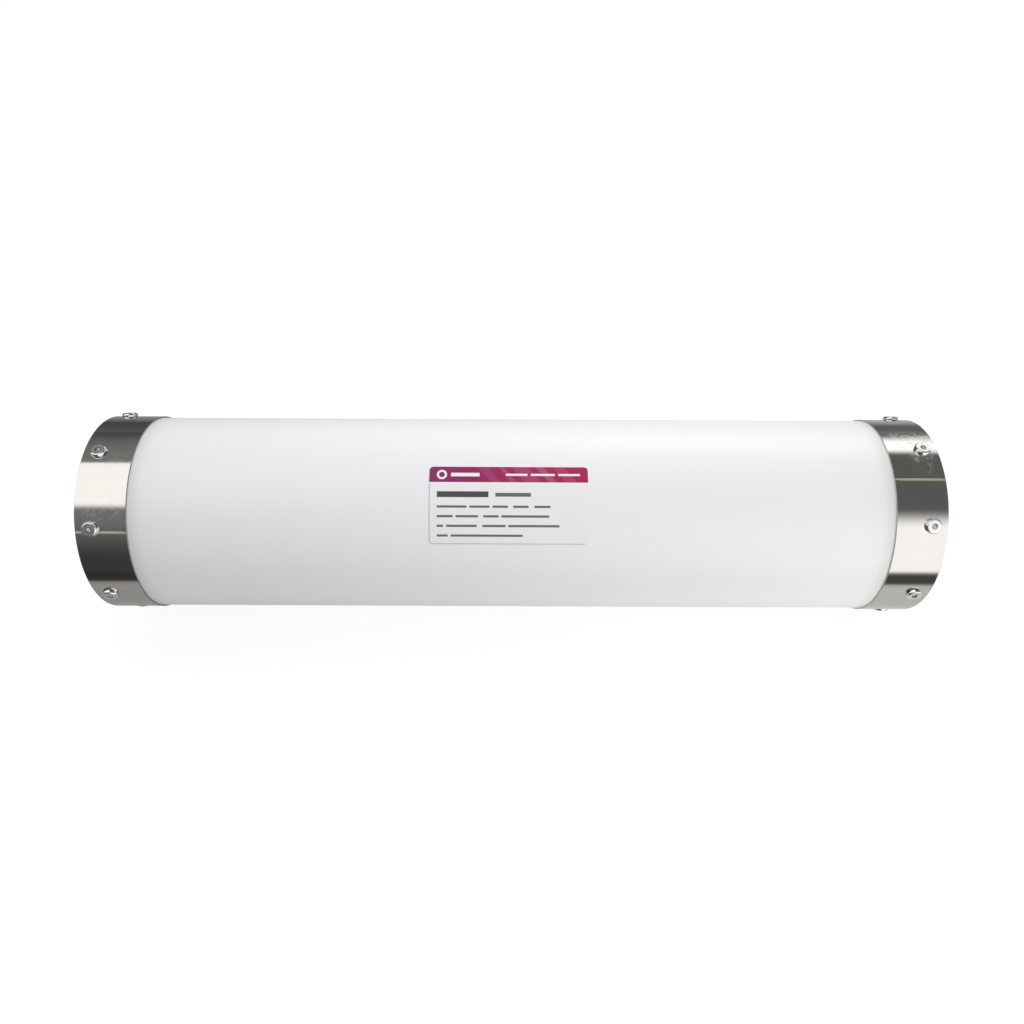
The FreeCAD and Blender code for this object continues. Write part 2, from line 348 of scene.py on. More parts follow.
def place_on_tube(graph: Graph) -> Place:
    """Finds X, the distance from the tube's axis and the angle round it.

    Args:
        graph: the material's nodes.

    Returns:
        The signals.
    """
    vector = graph.coordinates(Coordinates.OBJECT)
    x, y, z = graph.split(vector)
    height = z - AXIS_HEIGHT
    front = y * -1.0
    radius = (y * y + height * height).math("SQRT")
    angle = height.math("ARCTAN2", front) * math.degrees(1.0)
    return Place(vector, x, radius, angle)


# Finishes


@dataclass(frozen=True)
class Finish:
    """A material: its record slot, its name and the constants of its shader."""

    slot: str
    name: str

    def material(self) -> bpy.types.Material:
        """The material, made once and shared after that."""
        made = bpy.data.materials.get(self.name)
        if made is None:
            made = bpy.data.materials.new(self.name)
            made.use_nodes = True
            graph = Graph(made.node_tree)
            graph.surface(graph.node("ShaderNodeBsdfPrincipled", {}, self.sockets(graph)))
        return made

    def sockets(self, graph: Graph) -> dict[str, Any]:
        """Values and signals of the Principled shader's sockets."""
        raise NotImplementedError


@dataclass(frozen=True)
class TubePlastic(Finish):
    """Satin white extruded plastic, slightly uneven, with faint draw lines along the tube."""

    colour: Colour = (0.835, 0.835, 0.848)
    shade: Colour = (0.78, 0.78, 0.80)
    # painted shade beside the bands
    band_shade: Colour = (0.62, 0.605, 0.575)
    # painted shade in the gap at the inlet's band
    gap_shade: Colour = (0.20, 0.19, 0.18)
    refraction: float = 1.49
    unevenness: float = 0.04 * MM
    clouds: Pattern = Pattern((9.0, 9.0, 9.0), 3.0, 0.55)
    draw_lines: Pattern = Pattern((3.0, 260.0, 260.0))
    scuffs: Pattern = Pattern((60.0, 420.0, 420.0), 4.0, 0.7)

    def sockets(self, graph: Graph) -> dict[str, Any]:
        """See Finish."""
        place = place_on_tube(graph)
        clouds = self.clouds.on(graph, place.vector)
        draw_lines = self.draw_lines.on(graph, place.vector)
        scuffs = self.scuffs.on(graph, place.vector).rise(0.60, 0.72)
        tone = graph.mix(clouds * 0.06 + draw_lines * 0.03, self.colour, self.shade)
        return {
            "Base Color": self._near_bands(graph, place, tone),
            "Roughness": 0.34 + draw_lines * 0.10 + scuffs * 0.06,
            "IOR": self.refraction,
            "Normal": graph.bump(draw_lines + clouds * 0.6, self.unevenness),
        }

    def _near_bands(self, graph: Graph, place: Place, tone: Signal) -> Signal:
        """Tone with painted shade that darkens and warms the tube towards the bands, and a painted shade
        line in the gap at the inlet's band.

        Args:
            graph: the material's nodes.
            place: the place on the tube.
            tone: the plastic's tone.

        Returns:
            The tone with both.
        """
        edge = TUBE_HALF_LENGTH - BAND_WIDTH
        to_end = abs(place.x)
        bare = to_end.rise(edge + 3 * MM, edge + 2 * MM)
        # painted shade that darkens and warms the tube towards the bands
        beside = to_end.rise(edge - 13 * MM, edge + 1 * MM) * 0.52
        towards = to_end.rise(edge - 34 * MM, edge + 2 * MM) * 0.16
        tone = graph.mix((beside + towards) * bare, tone, self.band_shade)
        # painted shade in the gap where the inlet's band meets the tube
        gap = to_end.rise(edge - 0.6 * MM, edge - 0.1 * MM) * bare
        at_inlet = place.x.rise(300 * MM, -300 * MM)
        return graph.mix(gap * at_inlet * 0.2, tone, self.gap_shade)


@dataclass(frozen=True)
class Smudge:
    """Dulled stretch of a band: angles in degrees, depths from the mouth in metres and how dull it is."""

    low: float
    high: float
    near: float
    far: float
    amount: float
    angle_blur: float = 7.0
    depth_blur: float = 12 * MM

    def mask(self, angle: Signal, from_mouth: Signal) -> Signal:
        """How dull each place is.

        Args:
            angle: angle round the tube, in degrees.
            from_mouth: depth from the mouth, in metres.

        Returns:
            The mask.
        """
        height = angle.inside(self.low, self.high, self.angle_blur)
        return height * from_mouth.inside(self.near, self.far, self.depth_blur) * self.amount


@dataclass(frozen=True)
class BandSteel(Finish):
    """Polished strip rolled round the tube, with fine lines round it, a welded seam, worn edges and painted
    shade along its inner cut edge.
    """

    end: End = End.INLET
    seam_angle: float = 64.0
    heat_tint: float = 0.0
    # how strongly painted shade darkens the inner cut edge
    edge_shade: float = 0.0
    smudges: tuple[Smudge, ...] = ()
    colour: Colour = (0.640, 0.625, 0.590)
    shade: Colour = (0.545, 0.535, 0.505)
    tint: Colour = (0.62, 0.64, 0.44)
    worn: Colour = (0.78, 0.77, 0.74)
    # painted shade along the inner cut edge
    painted_shade: Colour = (0.12, 0.12, 0.12)
    dull: Colour = (0.84, 0.83, 0.81)
    line_height: float = 0.0022 * MM
    lines: Pattern = Pattern((1900.0, 16.0, 16.0), 3.0, 0.65)
    patches: Pattern = Pattern((55.0, 26.0, 26.0))
    scratches: Pattern = Pattern((240.0, 900.0, 900.0), 2.0, 0.5)
    spots: Pattern = Pattern((240.0, 240.0, 240.0), 5.0, 0.66)
    smears: Pattern = Pattern((70.0, 110.0, 110.0))

    def sockets(self, graph: Graph) -> dict[str, Any]:
        """See Finish."""
        place = place_on_tube(graph)
        lines = self.lines.on(graph, place.vector)
        patches = self.patches.on(graph, place.vector)
        scratches = self.scratches.on(graph, place.vector).rise(0.70, 0.76)
        from_mouth = TUBE_HALF_LENGTH - place.x * self.end.side
        at_mouth = from_mouth.rise(1.1 * MM, 0.2 * MM)
        cut_edge = from_mouth.rise(BAND_WIDTH - 0.45 * MM, BAND_WIDTH - 0.15 * MM)
        below_seam = (self.seam_angle - place.angle).inside(0.2, 1.7, 0.9)
        dull = self._dullness(graph, place, from_mouth)
        tone = graph.mix(lines * 0.5 + patches * 0.45 - 0.1, self.colour, self.shade)
        tone = graph.mix(below_seam * self.heat_tint, tone, self.tint)
        tone = graph.mix(at_mouth * 0.3, tone, self.worn)
        # painted shade along the inner cut edge, where the band meets the tube
        tone = graph.mix(cut_edge * self.edge_shade, tone, self.painted_shade)
        tone = graph.mix(dull * 0.5, tone, self.dull)
        rough = 0.055 + lines * 0.05 + patches * 0.03 + scratches * 0.10
        rough = rough + at_mouth * 0.10 + below_seam * 0.12 + cut_edge * 0.3 + dull * 0.26
        return {
            "Base Color": tone,
            "Metallic": 1.0,
            "Roughness": rough,
            "Normal": graph.bump(lines, self.line_height),
        }

    def _dullness(self, graph: Graph, place: Place, from_mouth: Signal) -> Signal:
        """How dull the smudges make each place.

        Args:
            graph: the material's nodes.
            place: the place on the band.
            from_mouth: depth from the mouth, in metres.

        Returns:
            The dullness.
        """
        spots = self.spots.on(graph, place.vector).rise(0.46, 0.64)
        smears = self.smears.on(graph, place.vector).rise(0.42, 0.62)
        where = sum(smudge.mask(place.angle, from_mouth) for smudge in self.smudges)
        return where * (spots * 0.75 + smears * 0.4)


@dataclass(frozen=True)
class SeamSteel(Finish):
    """Weld bead that was ground almost flush."""

    colour: Colour = (0.84, 0.83, 0.76)
    shade: Colour = (0.70, 0.70, 0.60)
    grain_height: float = 0.01 * MM
    grain: Pattern = Pattern((1400.0, 1400.0, 1400.0))

    def sockets(self, graph: Graph) -> dict[str, Any]:
        """See Finish."""
        grain = self.grain.on(graph, graph.coordinates(Coordinates.OBJECT))
        return {
            "Base Color": graph.mix(grain, self.colour, self.shade),
            "Metallic": 1.0,
            "Roughness": 0.40 + grain * 0.2,
            "Normal": graph.bump(grain, self.grain_height),
        }


@dataclass(frozen=True)
class TurnedSteel(Finish):
    """Stainless steel off a lathe, with rings round the cartridge's axis."""

    colour: Colour = (0.66, 0.65, 0.63)
    shade: Colour = (0.62, 0.61, 0.59)
    roughness: float = 0.22
    rings_per_metre: float = 1500.0
    ring_height: float = 0.002 * MM
    stains: Pattern = Pattern((130.0, 130.0, 130.0))

    def sockets(self, graph: Graph) -> dict[str, Any]:
        """See Finish."""
        return self.turned(graph, place_on_tube(graph).radius)

    def turned(self, graph: Graph, radius: Signal) -> dict[str, Any]:
        """Values and signals of steel with rings round an axis.

        Args:
            graph: the material's nodes.
            radius: distance from the axis.

        Returns:
            The values and signals.
        """
        rings = Pattern((self.rings_per_metre, 0.0, 0.0), 3.0, 0.7).on(graph, graph.join(radius, 0.0, 0.0))
        stains = self.stains.on(graph, graph.coordinates(Coordinates.OBJECT))
        return {
            "Base Color": graph.mix(stains * 0.4 + rings * 0.2, self.colour, self.shade),
            "Metallic": 1.0,
            "Roughness": self.roughness + rings * 0.08 + stains * 0.04,
            "Normal": graph.bump(rings, self.ring_height),
        }


@dataclass(frozen=True)
class ScrewSteel(TurnedSteel):
    """Bright steel of the screws, duller on the face, with painted shade round the socket's mouth and a
    painted glint on the socket's floor.

    An attribute of the mesh gives each point's place on its own screw.
    """

    colour: Colour = (0.82, 0.81, 0.79)
    roughness: float = 0.05
    rings_per_metre: float = 2400.0
    ring_height: float = 0.012 * MM
    face_height: float = 3.2 * MM
    face_radius: float = 5.3 * MM
    socket_radius: float = 2 * MM
    # painted shade at the socket's mouth
    painted_shade: Colour = (0.10, 0.10, 0.10)
    # painted glint on the socket's floor
    bare: Colour = (0.95, 0.95, 0.94)

    def sockets(self, graph: Graph) -> dict[str, Any]:
        """See Finish."""
        place = graph.node("ShaderNodeAttribute", {"attribute_name": SCREW_PLACE}, {}, "Vector")
        x, y, z = graph.split(place)
        radius = (x * x + y * y).math("SQRT")
        below_face = self.face_height - z
        face = radius.rise(self.face_radius, self.face_radius - 0.3 * MM)
        face = face * below_face.rise(0.12 * MM, 0.04 * MM)
        outline = radius.inside(self.socket_radius - 0.1 * MM, self.socket_radius + 0.7 * MM, 0.3 * MM)
        outline = outline * below_face.rise(1.2 * MM, 0.8 * MM)
        floor = radius.rise(self.socket_radius + 0.2 * MM, self.socket_radius)
        floor = floor * below_face.rise(1.2 * MM, 1.8 * MM)
        steel = self.turned(graph, radius)
        # painted shade round the socket's mouth
        tone = graph.mix(outline * 0.75, steel["Base Color"], self.painted_shade)
        # painted glint on the socket's floor
        steel["Base Color"] = graph.mix(floor * 0.8, tone, self.bare)
        steel["Roughness"] = steel["Roughness"] + face * 0.15 + floor * 0.45
        return steel


@dataclass(frozen=True)
class TurnedPlastic(Finish):
    """Plastic faced on a lathe: rings round the cartridge's axis, dulled here and there."""

    colour: Colour = (0.80, 0.80, 0.785)
    dull: Colour = (0.73, 0.73, 0.715)
    rings_per_metre: float = 900.0
    roughness: float = 0.42
    refraction: float = 1.5
    ring_height: float = 0.04 * MM
    broad_rings: Pattern = Pattern((150.0, 40.0, 0.0))
    clouds: Pattern = Pattern((34.0, 34.0, 34.0), 3.0, 0.55)
    scuffs: Pattern = Pattern((40.0, 620.0, 95.0), 4.0, 0.7)

    def sockets(self, graph: Graph) -> dict[str, Any]:
        """See Finish."""
        place = place_on_tube(graph)
        section = graph.join(place.radius, place.x, 0.0)
        rings = Pattern((self.rings_per_metre, self.rings_per_metre, 0.0), 2.0).on(graph, section)
        broad = self.broad_rings.on(graph, section)
        clouds = self.clouds.on(graph, place.vector)
        scuffs = self.scuffs.on(graph, place.vector).rise(0.62, 0.74)
        dulled = rings * 0.3 + broad * 0.5 + clouds * 0.4 - 0.2
        return {
            "Base Color": graph.mix(dulled, self.colour, self.dull),
            "Roughness": self.roughness + rings * 0.12 + broad * 0.12 + scuffs * 0.12 - 0.06,
            "IOR": self.refraction,
            "Normal": graph.bump(rings + broad - scuffs * 0.5, self.ring_height),
        }


@dataclass(frozen=True)
class Granular(Finish):
    """Sintered plastic or packed powder: grains of a given size."""

    colour: Colour = (0.90, 0.90, 0.88)
    pore: Colour = (0.72, 0.72, 0.70)
    grains_per_metre: float = 2600.0
    grain_height: float = 0.1 * MM

    def sockets(self, graph: Graph) -> dict[str, Any]:
        """See Finish."""
        values = {"Vector": graph.coordinates(Coordinates.OBJECT), "Scale": self.grains_per_metre}
        cells = graph.node("ShaderNodeTexVoronoi", {}, values)
        return {
            "Base Color": graph.mix(cells.rise(0.35, 0.9), self.colour, self.pore),
            "Roughness": 0.80 + cells * 0.15,
            "Normal": graph.bump(1.0 - cells, self.grain_height),
        }


@dataclass(frozen=True)
class SealRubber(Finish):
    """Black moulded rubber with a slight bloom."""

    colour: Colour = (0.018, 0.018, 0.019)
    bloomed: Colour = (0.045, 0.045, 0.046)
    unevenness: float = 0.02 * MM
    bloom: Pattern = Pattern((80.0, 80.0, 80.0))

    def sockets(self, graph: Graph) -> dict[str, Any]:
        """See Finish."""
        bloom = self.bloom.on(graph, graph.coordinates(Coordinates.OBJECT))
        return {
            "Base Color": graph.mix(bloom, self.colour, self.bloomed),
            "Roughness": 0.45 + bloom * 0.2,
            "Normal": graph.bump(bloom, self.unevenness),
        }


@dataclass(frozen=True)
class LabelPrint(Finish):
    """Satin film with a coloured head band, a ring, slanting bands and rows of plain bars."""

    paper: Colour = (0.830, 0.827, 0.831)
    paper_shade: Colour = (0.74, 0.74, 0.76)
    outline: Colour = (0.385, 0.325, 0.36)
    below_head: Colour = (0.87, 0.86, 0.87)
    slanting: Colour = (0.72, 0.36, 0.46)
    light_ink: Colour = (0.86, 0.84, 0.86)
    refraction: float = 1.5
    specular: float = 0.3
    fibre_height: float = 0.012 * MM
    head_foot: float = 54.9 * MM
    head_edge: float = 0.4 * MM
    slope: float = 0.8
    slant_blur: float = 1.6 * MM
    ring_centre: tuple[float, float] = (11 * MM, 62.2 * MM)
    ring_radius: float = 3.5 * MM
    fibres: Pattern = Pattern((900.0, 900.0, 900.0))

    def sockets(self, graph: Graph) -> dict[str, Any]:
        """See Finish."""
        u, v, _ = graph.split(graph.coordinates(Coordinates.UV))
        across = u * LABEL_LENGTH
        up = v * LABEL_HEIGHT
        fibres = self.fibres.on(graph, graph.coordinates(Coordinates.OBJECT))
        tone = graph.mix(fibres * 0.05, self.paper, self.paper_shade)
        for line in PRINTED_LINES:
            tone = graph.mix(line.mask(across, up), tone, line.ink)
        tone = graph.mix(self._outline_mask(across, up), tone, self.outline)
        head = up.rise(self.head_foot, self.head_foot + self.head_edge)
        halo = up.inside(self.head_foot - 1 * MM, self.head_foot + 0.2 * MM, 0.5 * MM)
        tone = graph.mix(halo * 0.8, tone, self.below_head)
        tone = graph.mix(head, tone, self._head_band(graph, u, across, up))
        return {
            "Base Color": tone,
            "Roughness": 0.40 + fibres * 0.08,
            "IOR": self.refraction,
            "Specular IOR Level": self.specular,
            "Normal": graph.bump(fibres, self.fibre_height),
        }

    def _outline_mask(self, across: Signal, up: Signal) -> Signal:
        """Mask of the thin outline, which follows the corners and ends before the label's right side.

        Args:
            across: place across the label in metres.
            up: height on the label in metres.

        Returns:
            The mask.
        """
        from_side = across.math("MINIMUM", LABEL_LENGTH - across)
        sideways = (LABEL_CORNER - from_side).math("MAXIMUM", 0.0)
        downwards = (LABEL_CORNER - up).math("MAXIMUM", 0.0)
        inward = LABEL_CORNER - (sideways * sideways + downwards * downwards).math("SQRT")
        line = inward.inside(0.35 * MM, 0.85 * MM, 0.35 * MM)
        return line * across.rise(LABEL_LENGTH - 1 * MM, LABEL_LENGTH - 3 * MM)

    def _head_band(self, graph: Graph, u: Signal, across: Signal, up: Signal) -> Signal:
        """Head band: purple to crimson, with broad slanting bands, a ring and bars in white.

        Args:
            graph: the material's nodes.
            u: place across the label from 0 to 1.
            across: place across the label in metres.
            up: height on the label in metres.

        Returns:
            The band's colour.
        """
        tone = u.ramp(HEAD_TONES)
        slant = across + up * self.slope
        for start, width, amount in SLANTING_BANDS:
            band = slant.inside(start * MM, (start + width) * MM, self.slant_blur)
            tone = graph.mix(band * amount, tone, self.slanting)
        dx = across - self.ring_centre[0]
        dy = up - self.ring_centre[1]
        from_ring = abs((dx * dx + dy * dy).math("SQRT") - self.ring_radius)
        marks = from_ring.rise(1.15 * MM, 0.75 * MM)
        for line in HEAD_BARS:
            marks = marks + line.mask(across, up)
        return graph.mix(marks, tone, self.light_ink)


@dataclass(frozen=True)
class PrintedLine:
    """A row of plain bars on the label, in millimetres from its lower left corner."""

    low: float
    high: float
    bars: tuple[tuple[float, float], ...]
    ink: Colour = (0.070, 0.066, 0.075)
    blur: float = 0.35

    def mask(self, across: Signal, up: Signal) -> Signal:
        """Mask of the row's bars.

        Args:
            across: place across the label in metres.
            up: height on the label in metres.

        Returns:
            The mask.
        """
        row = up.inside(self.low * MM, self.high * MM, self.blur * MM)
        return row * sum(across.inside(start * MM, end * MM, self.blur * MM) for start, end in self.bars)


GREY_INK: Colour = (0.14, 0.135, 0.145)
PRINTED_LINES = (
    PrintedLine(41.6, 46.8, ((7.0, 52.0),)),
    PrintedLine(42.2, 45.6, ((58.0, 89.0),), GREY_INK),
    PrintedLine(
        32.4, 34.4, ((7.0, 33.0), (35.4, 53.0), (55.6, 69.0), (73.6, 87.0), (92.0, 106.0)), GREY_INK
    ),
    PrintedLine(24.0, 26.0, ((7.0, 21.0), (23.4, 43.0), (47.6, 61.0), (63.4, 105.0)), GREY_INK),
    PrintedLine(15.6, 17.6, ((7.0, 12.6), (15.2, 42.0), (46.8, 67.0), (69.4, 114.0)), GREY_INK),
    PrintedLine(7.0, 9.0, ((7.0, 16.6), (19.2, 82.0)), GREY_INK),
)
HEAD_TONES = (
    (0.0, (0.205, 0.030, 0.125)), (0.30, (0.275, 0.018, 0.105)), (0.60, (0.340, 0.022, 0.108)),
    (1.0, (0.365, 0.020, 0.078)),
)
# Start and width in millimetres along the slant, and how strongly the band shows
SLANTING_BANDS = ((98, 9, 0.07), (116, 5, 0.12), (128, 14, 0.09), (149, 7, 0.17), (164, 10, 0.09))
HEAD_BARS = (
    PrintedLine(60.5, 63.9, ((19.0, 44.0),)),
    PrintedLine(61.2, 63.2, ((67.0, 86.0), (89.0, 110.0), (113.0, 132.0))),
)


# Meshes


class Shell:
    """Points and faces of one piece while it is being built."""

    def __init__(self) -> None:
        """Starts empty."""
        self.points: list[Point] = []
        self.faces: list[Face] = []

    def add(self, points: Iterable[Point]) -> list[int]:
        """Adds points and returns their numbers."""
        first = len(self.points)
        self.points.extend(points)
        return list(range(first, len(self.points)))

    def strip(self, one: Sequence[int], other: Sequence[int], closed: bool = True) -> None:
        """Joins two rows of the same length by quads."""
        count = len(one)
        for index in range(count if closed else count - 1):
            after = (index + 1) % count
            self.faces.append((one[index], one[after], other[after], other[index]))

    def loft(self, rows: Sequence[Sequence[int]], closed: bool = True) -> None:
        """Joins each row to the next."""
        for one, other in zip(rows, rows[1:]):
            self.strip(one, other, closed)

    def cap(self, row: Sequence[int]) -> None:
        """Closes a row by one flat face."""
        self.faces.append(tuple(row))

    def build(self, name: str, smooth_below: float = SMOOTH_BELOW) -> bpy.types.Object:
        """Makes the mesh object.

        Args:
            name: the piece's name.
            smooth_below: edges that turn by more than this many degrees stay sharp.

        Returns:
            The object, in the scene and at the origin.
        """
        mesh = bpy.data.meshes.new(name)
        mesh.from_pydata(self.points, [], self.faces)
        work = bmesh.new()
        work.from_mesh(mesh)
        bmesh.ops.remove_doubles(work, verts=work.verts, dist=MERGE_DISTANCE)
        bmesh.ops.dissolve_degenerate(work, edges=work.edges, dist=MERGE_DISTANCE)
        loose = [vertex for vertex in work.verts if not vertex.link_faces]
        bmesh.ops.delete(work, geom=loose, context="VERTS")
        bmesh.ops.recalc_face_normals(work, faces=work.faces)
        work.to_mesh(mesh)
        work.free()
        mesh.shade_smooth()
        mesh.set_sharp_from_angle(angle=math.radians(smooth_below))
        piece = bpy.data.objects.new(name, mesh)
        bpy.context.scene.collection.objects.link(piece)
        return piece


def on_tube(x: float, radius: float, angle: float) -> Point:
    """Point at an angle in degrees round the tube's axis."""
    turn = math.radians(angle)
    return (x, -radius * math.cos(turn), AXIS_HEIGHT + radius * math.sin(turn))


def arc_points(centre: tuple[float, float], radius: float, start: float, end: float,
               steps: int = EDGE_STEPS) -> list[tuple[float, float]]:
    """Points of an arc in the plane of (x, radius).

    Args:
        centre: the arc's centre.
        radius: its radius.
        start: first angle in degrees.
        end: last angle in degrees.
        steps: number of runs.

    Returns:
        The points, ends included.
    """
    turns = [math.radians(start + (end - start) * step / steps) for step in range(steps + 1)]
    return [(centre[0] + radius * math.cos(turn), centre[1] + radius * math.sin(turn)) for turn in turns]


def exact_normals(piece: bpy.types.Object, radii: Sequence[float]) -> None:
    """Gives the round walls of a piece the normals of true cylinders.

    Args:
        piece: the piece, already shaded smooth.
        radii: radii of the cylinders round the tube's axis; a wall of the smallest faces inwards.
    """
    mesh = piece.data
    normals = [(0.0, 0.0, 0.0)] * len(mesh.loops)
    for face in mesh.polygons:
        corners = [mesh.vertices[number].co for number in face.vertices]
        around = [Vector((0.0, corner.y, corner.z - AXIS_HEIGHT)) for corner in corners]
        for radius in radii:
            if all(abs(arm.length - radius) < 1e-6 for arm in around) and abs(face.normal.x) < 0.01:
                sign = 1.0 if face.normal.dot(around[0]) > 0 else -1.0
                for loop, arm in zip(face.loop_indices, around):
                    normals[loop] = tuple(arm.normalized() * sign)
    mesh.normals_split_custom_set(normals)


@dataclass(frozen=True)
class HoleRow:
    """Radial holes round a wall at one station."""

    x: float
    first_angle: float
    radius: float = SCREW_HOLE_RADIUS
    count: int = SCREW_COUNT


@dataclass(frozen=True)
class HoledWall:
    """Round wall with rows of radial holes, on a grid whose cells give way to a patch at each hole."""

    left_lip: Sequence[tuple[float, float]]
    right_lip: Sequence[tuple[float, float]]
    outer: float
    inner: float
    stations: Sequence[float]
    holes: Sequence[HoleRow]

    def origin(self, x: float) -> float:
        """Angle of the grid's first column, which runs from one row of holes to the other."""
        first, last = self.holes[0], self.holes[-1]
        if first is last:
            return first.first_angle
        share = min(1.0, max(0.0, (x - first.x) / (last.x - first.x)))
        return first.first_angle + (last.first_angle - first.first_angle) * share

    def build(self, name: str) -> bpy.types.Object:
        """Makes the wall.

        Args:
            name: the piece's name.

        Returns:
            The piece.
        """
        shell = Shell()
        cell = WINDOW_HALF_LENGTH / WINDOW_CELLS
        marks = {round(hole.x + cell * step, 7) for hole in self.holes
                 for step in range(-WINDOW_CELLS, WINDOW_CELLS + 1)}
        span = sorted(marks | {round(x, 7) for x in self.stations})
        outline = ([(x, self.outer) for x in span] + list(self.right_lip)
                   + [(x, self.inner) for x in reversed(span)] + list(self.left_lip))
        rows = []
        for x, radius in outline:
            start = self.origin(x)
            angles = [start + 360 * column / COLUMNS for column in range(COLUMNS)]
            rows.append(shell.add(on_tube(x, radius, angle) for angle in angles))
        outer_rows = dict(zip(span, rows))
        inner_rows = dict(zip(reversed(span), rows[len(span) + len(self.right_lip):]))
        skipped = self._windows(span)
        for index, row in enumerate(rows):
            following = (index + 1) % len(rows)
            after = rows[following]
            pair = frozenset((round(outline[index][0], 7), round(outline[following][0], 7)))
            on_wall = outline[index][1] == outline[following][1]
            for column in range(COLUMNS):
                if on_wall and (pair, column) in skipped:
                    continue
                beside = (column + 1) % COLUMNS
                shell.faces.append((row[column], row[beside], after[beside], after[column]))
        for hole in self.holes:
            for index in range(hole.count):
                centre = index * COLUMNS // hole.count
                rims = [self._patch(shell, grid, hole, centre, radius, span)
                        for grid, radius in ((outer_rows, self.outer), (inner_rows, self.inner))]
                shell.strip(rims[0], rims[1])
        piece = shell.build(name)
        exact_normals(piece, (self.outer, self.inner))
        return piece

    def _windows(self, span: Sequence[float]) -> set[tuple[frozenset[float], int]]:
        """Cells that the holes' patches take the place of."""
        skipped = set()
        for hole in self.holes:
            inside = [x for x in span if abs(x - hole.x) < WINDOW_HALF_LENGTH + 1e-6]
            for index in range(hole.count):
                centre = index * COLUMNS // hole.count
                for low, high in zip(inside, inside[1:]):
                    for step in range(-WINDOW_CELLS, WINDOW_CELLS):
                        skipped.add((frozenset((low, high)), (centre + step) % COLUMNS))
        return skipped

    def _patch(self, shell: Shell, grid: dict[float, list[int]], hole: HoleRow, centre: int, radius: float,
               span: Sequence[float]) -> list[int]:
        """Fills the window round one hole.

        Args:
            shell: the wall.
            grid: rows of point numbers by x.
            hole: the row that the hole is in.
            centre: column of the hole's centre.
            radius: the wall's radius.
            span: all stations.

        Returns:
            The points of the hole's rim.
        """
        inside = [x for x in span if abs(x - hole.x) < WINDOW_HALF_LENGTH + 1e-6]
        reach = WINDOW_CELLS
        corners = [(inside[0], step) for step in range(-reach, reach)]
        corners += [(x, reach) for x in inside[:-1]]
        corners += [(inside[-1], step) for step in range(reach, -reach, -1)]
        corners += [(x, -reach) for x in reversed(inside[1:])]
        border = [grid[x][(centre + step) % COLUMNS] for x, step in corners]
        middle_angle = self.origin(hole.x) + 360 * centre / COLUMNS
        rings = []
        for share in (0.5, 1.0):
            ring = []
            for number, (x, step) in zip(border, corners):
                turn = math.atan2(x - hole.x, math.radians(step * 360 / COLUMNS) * radius)
                rim_x = hole.x + hole.radius * math.sin(turn)
                rim_angle = math.degrees(math.asin(hole.radius * math.cos(turn) / radius))
                edge_angle = step * 360 / COLUMNS + self.origin(x) - self.origin(hole.x)
                ring_x = x + (rim_x - x) * share
                ring_angle = middle_angle + edge_angle + (rim_angle - edge_angle) * share
                ring.append(on_tube(ring_x, radius, ring_angle))
            rings.append(shell.add(ring))
        shell.loft([border, *rings])
        return rings[-1]


def dress(piece: bpy.types.Object, finish: Finish, *nodes: str) -> bpy.types.Object:
    """Gives a new piece its finish, its body and the nodes that it stands for.

    Args:
        piece: the piece.
        finish: its finish.
        nodes: the CAD nodes that it replaces.

    Returns:
        The piece.
    """
    piece.data.materials.clear()
    piece.data.materials.append(finish.material())
    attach(piece, "root")
    if nodes:
        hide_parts(*nodes)
    stands_for = ", ".join(nodes) or "nothing"
    log.info("%s: %d faces, stands for %s", piece.name, len(piece.data.polygons), stands_for)
    return piece


def carry_over(node: str, finish: Finish) -> None:
    """Keeps a CAD node and gives it a finish.

    Args:
        node: the node's name.
        finish: its finish.
    """
    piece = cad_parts[node]
    material = finish.material()
    if piece.data.materials:
        for index in range(len(piece.data.materials)):
            piece.data.materials[index] = material
    else:
        piece.data.materials.append(material)
    log.info("%s: carried over", node)


# Sub-assemblies


@dataclass
class Tube:
    """White plastic tube."""

    edge: float = 0.6 * MM
    lead_in_depth: float = 3 * MM
    lead_in_rise: float = 1 * MM
    runs: int = 16
    finish: TubePlastic = TubePlastic("barrel_plastic", "satin_tube_plastic")

    def build(self) -> None:
        """Builds and dresses the tube."""
        middle = TUBE_HALF_LENGTH
        edge = self.edge
        mouth = BORE_RADIUS + self.lead_in_rise
        right_lip = arc_points((middle - edge, TUBE_RADIUS - edge), edge, 90, 0) + [(middle, mouth)]
        left_lip = [(-middle, mouth)] + arc_points((edge - middle, TUBE_RADIUS - edge), edge, 180, 90)
        inner_end = middle - self.lead_in_depth
        reach = SCREW_STATION - WINDOW_HALF_LENGTH
        stations = [-reach + 2 * reach * step / self.runs for step in range(self.runs + 1)]
        stations += [-inner_end, inner_end]
        holes = [HoleRow(end.side * SCREW_STATION, end.first_screw) for end in End]
        wall = HoledWall(left_lip, right_lip, TUBE_RADIUS, BORE_RADIUS, stations, holes)
        dress(wall.build("white_tube"), self.finish, "barrel")


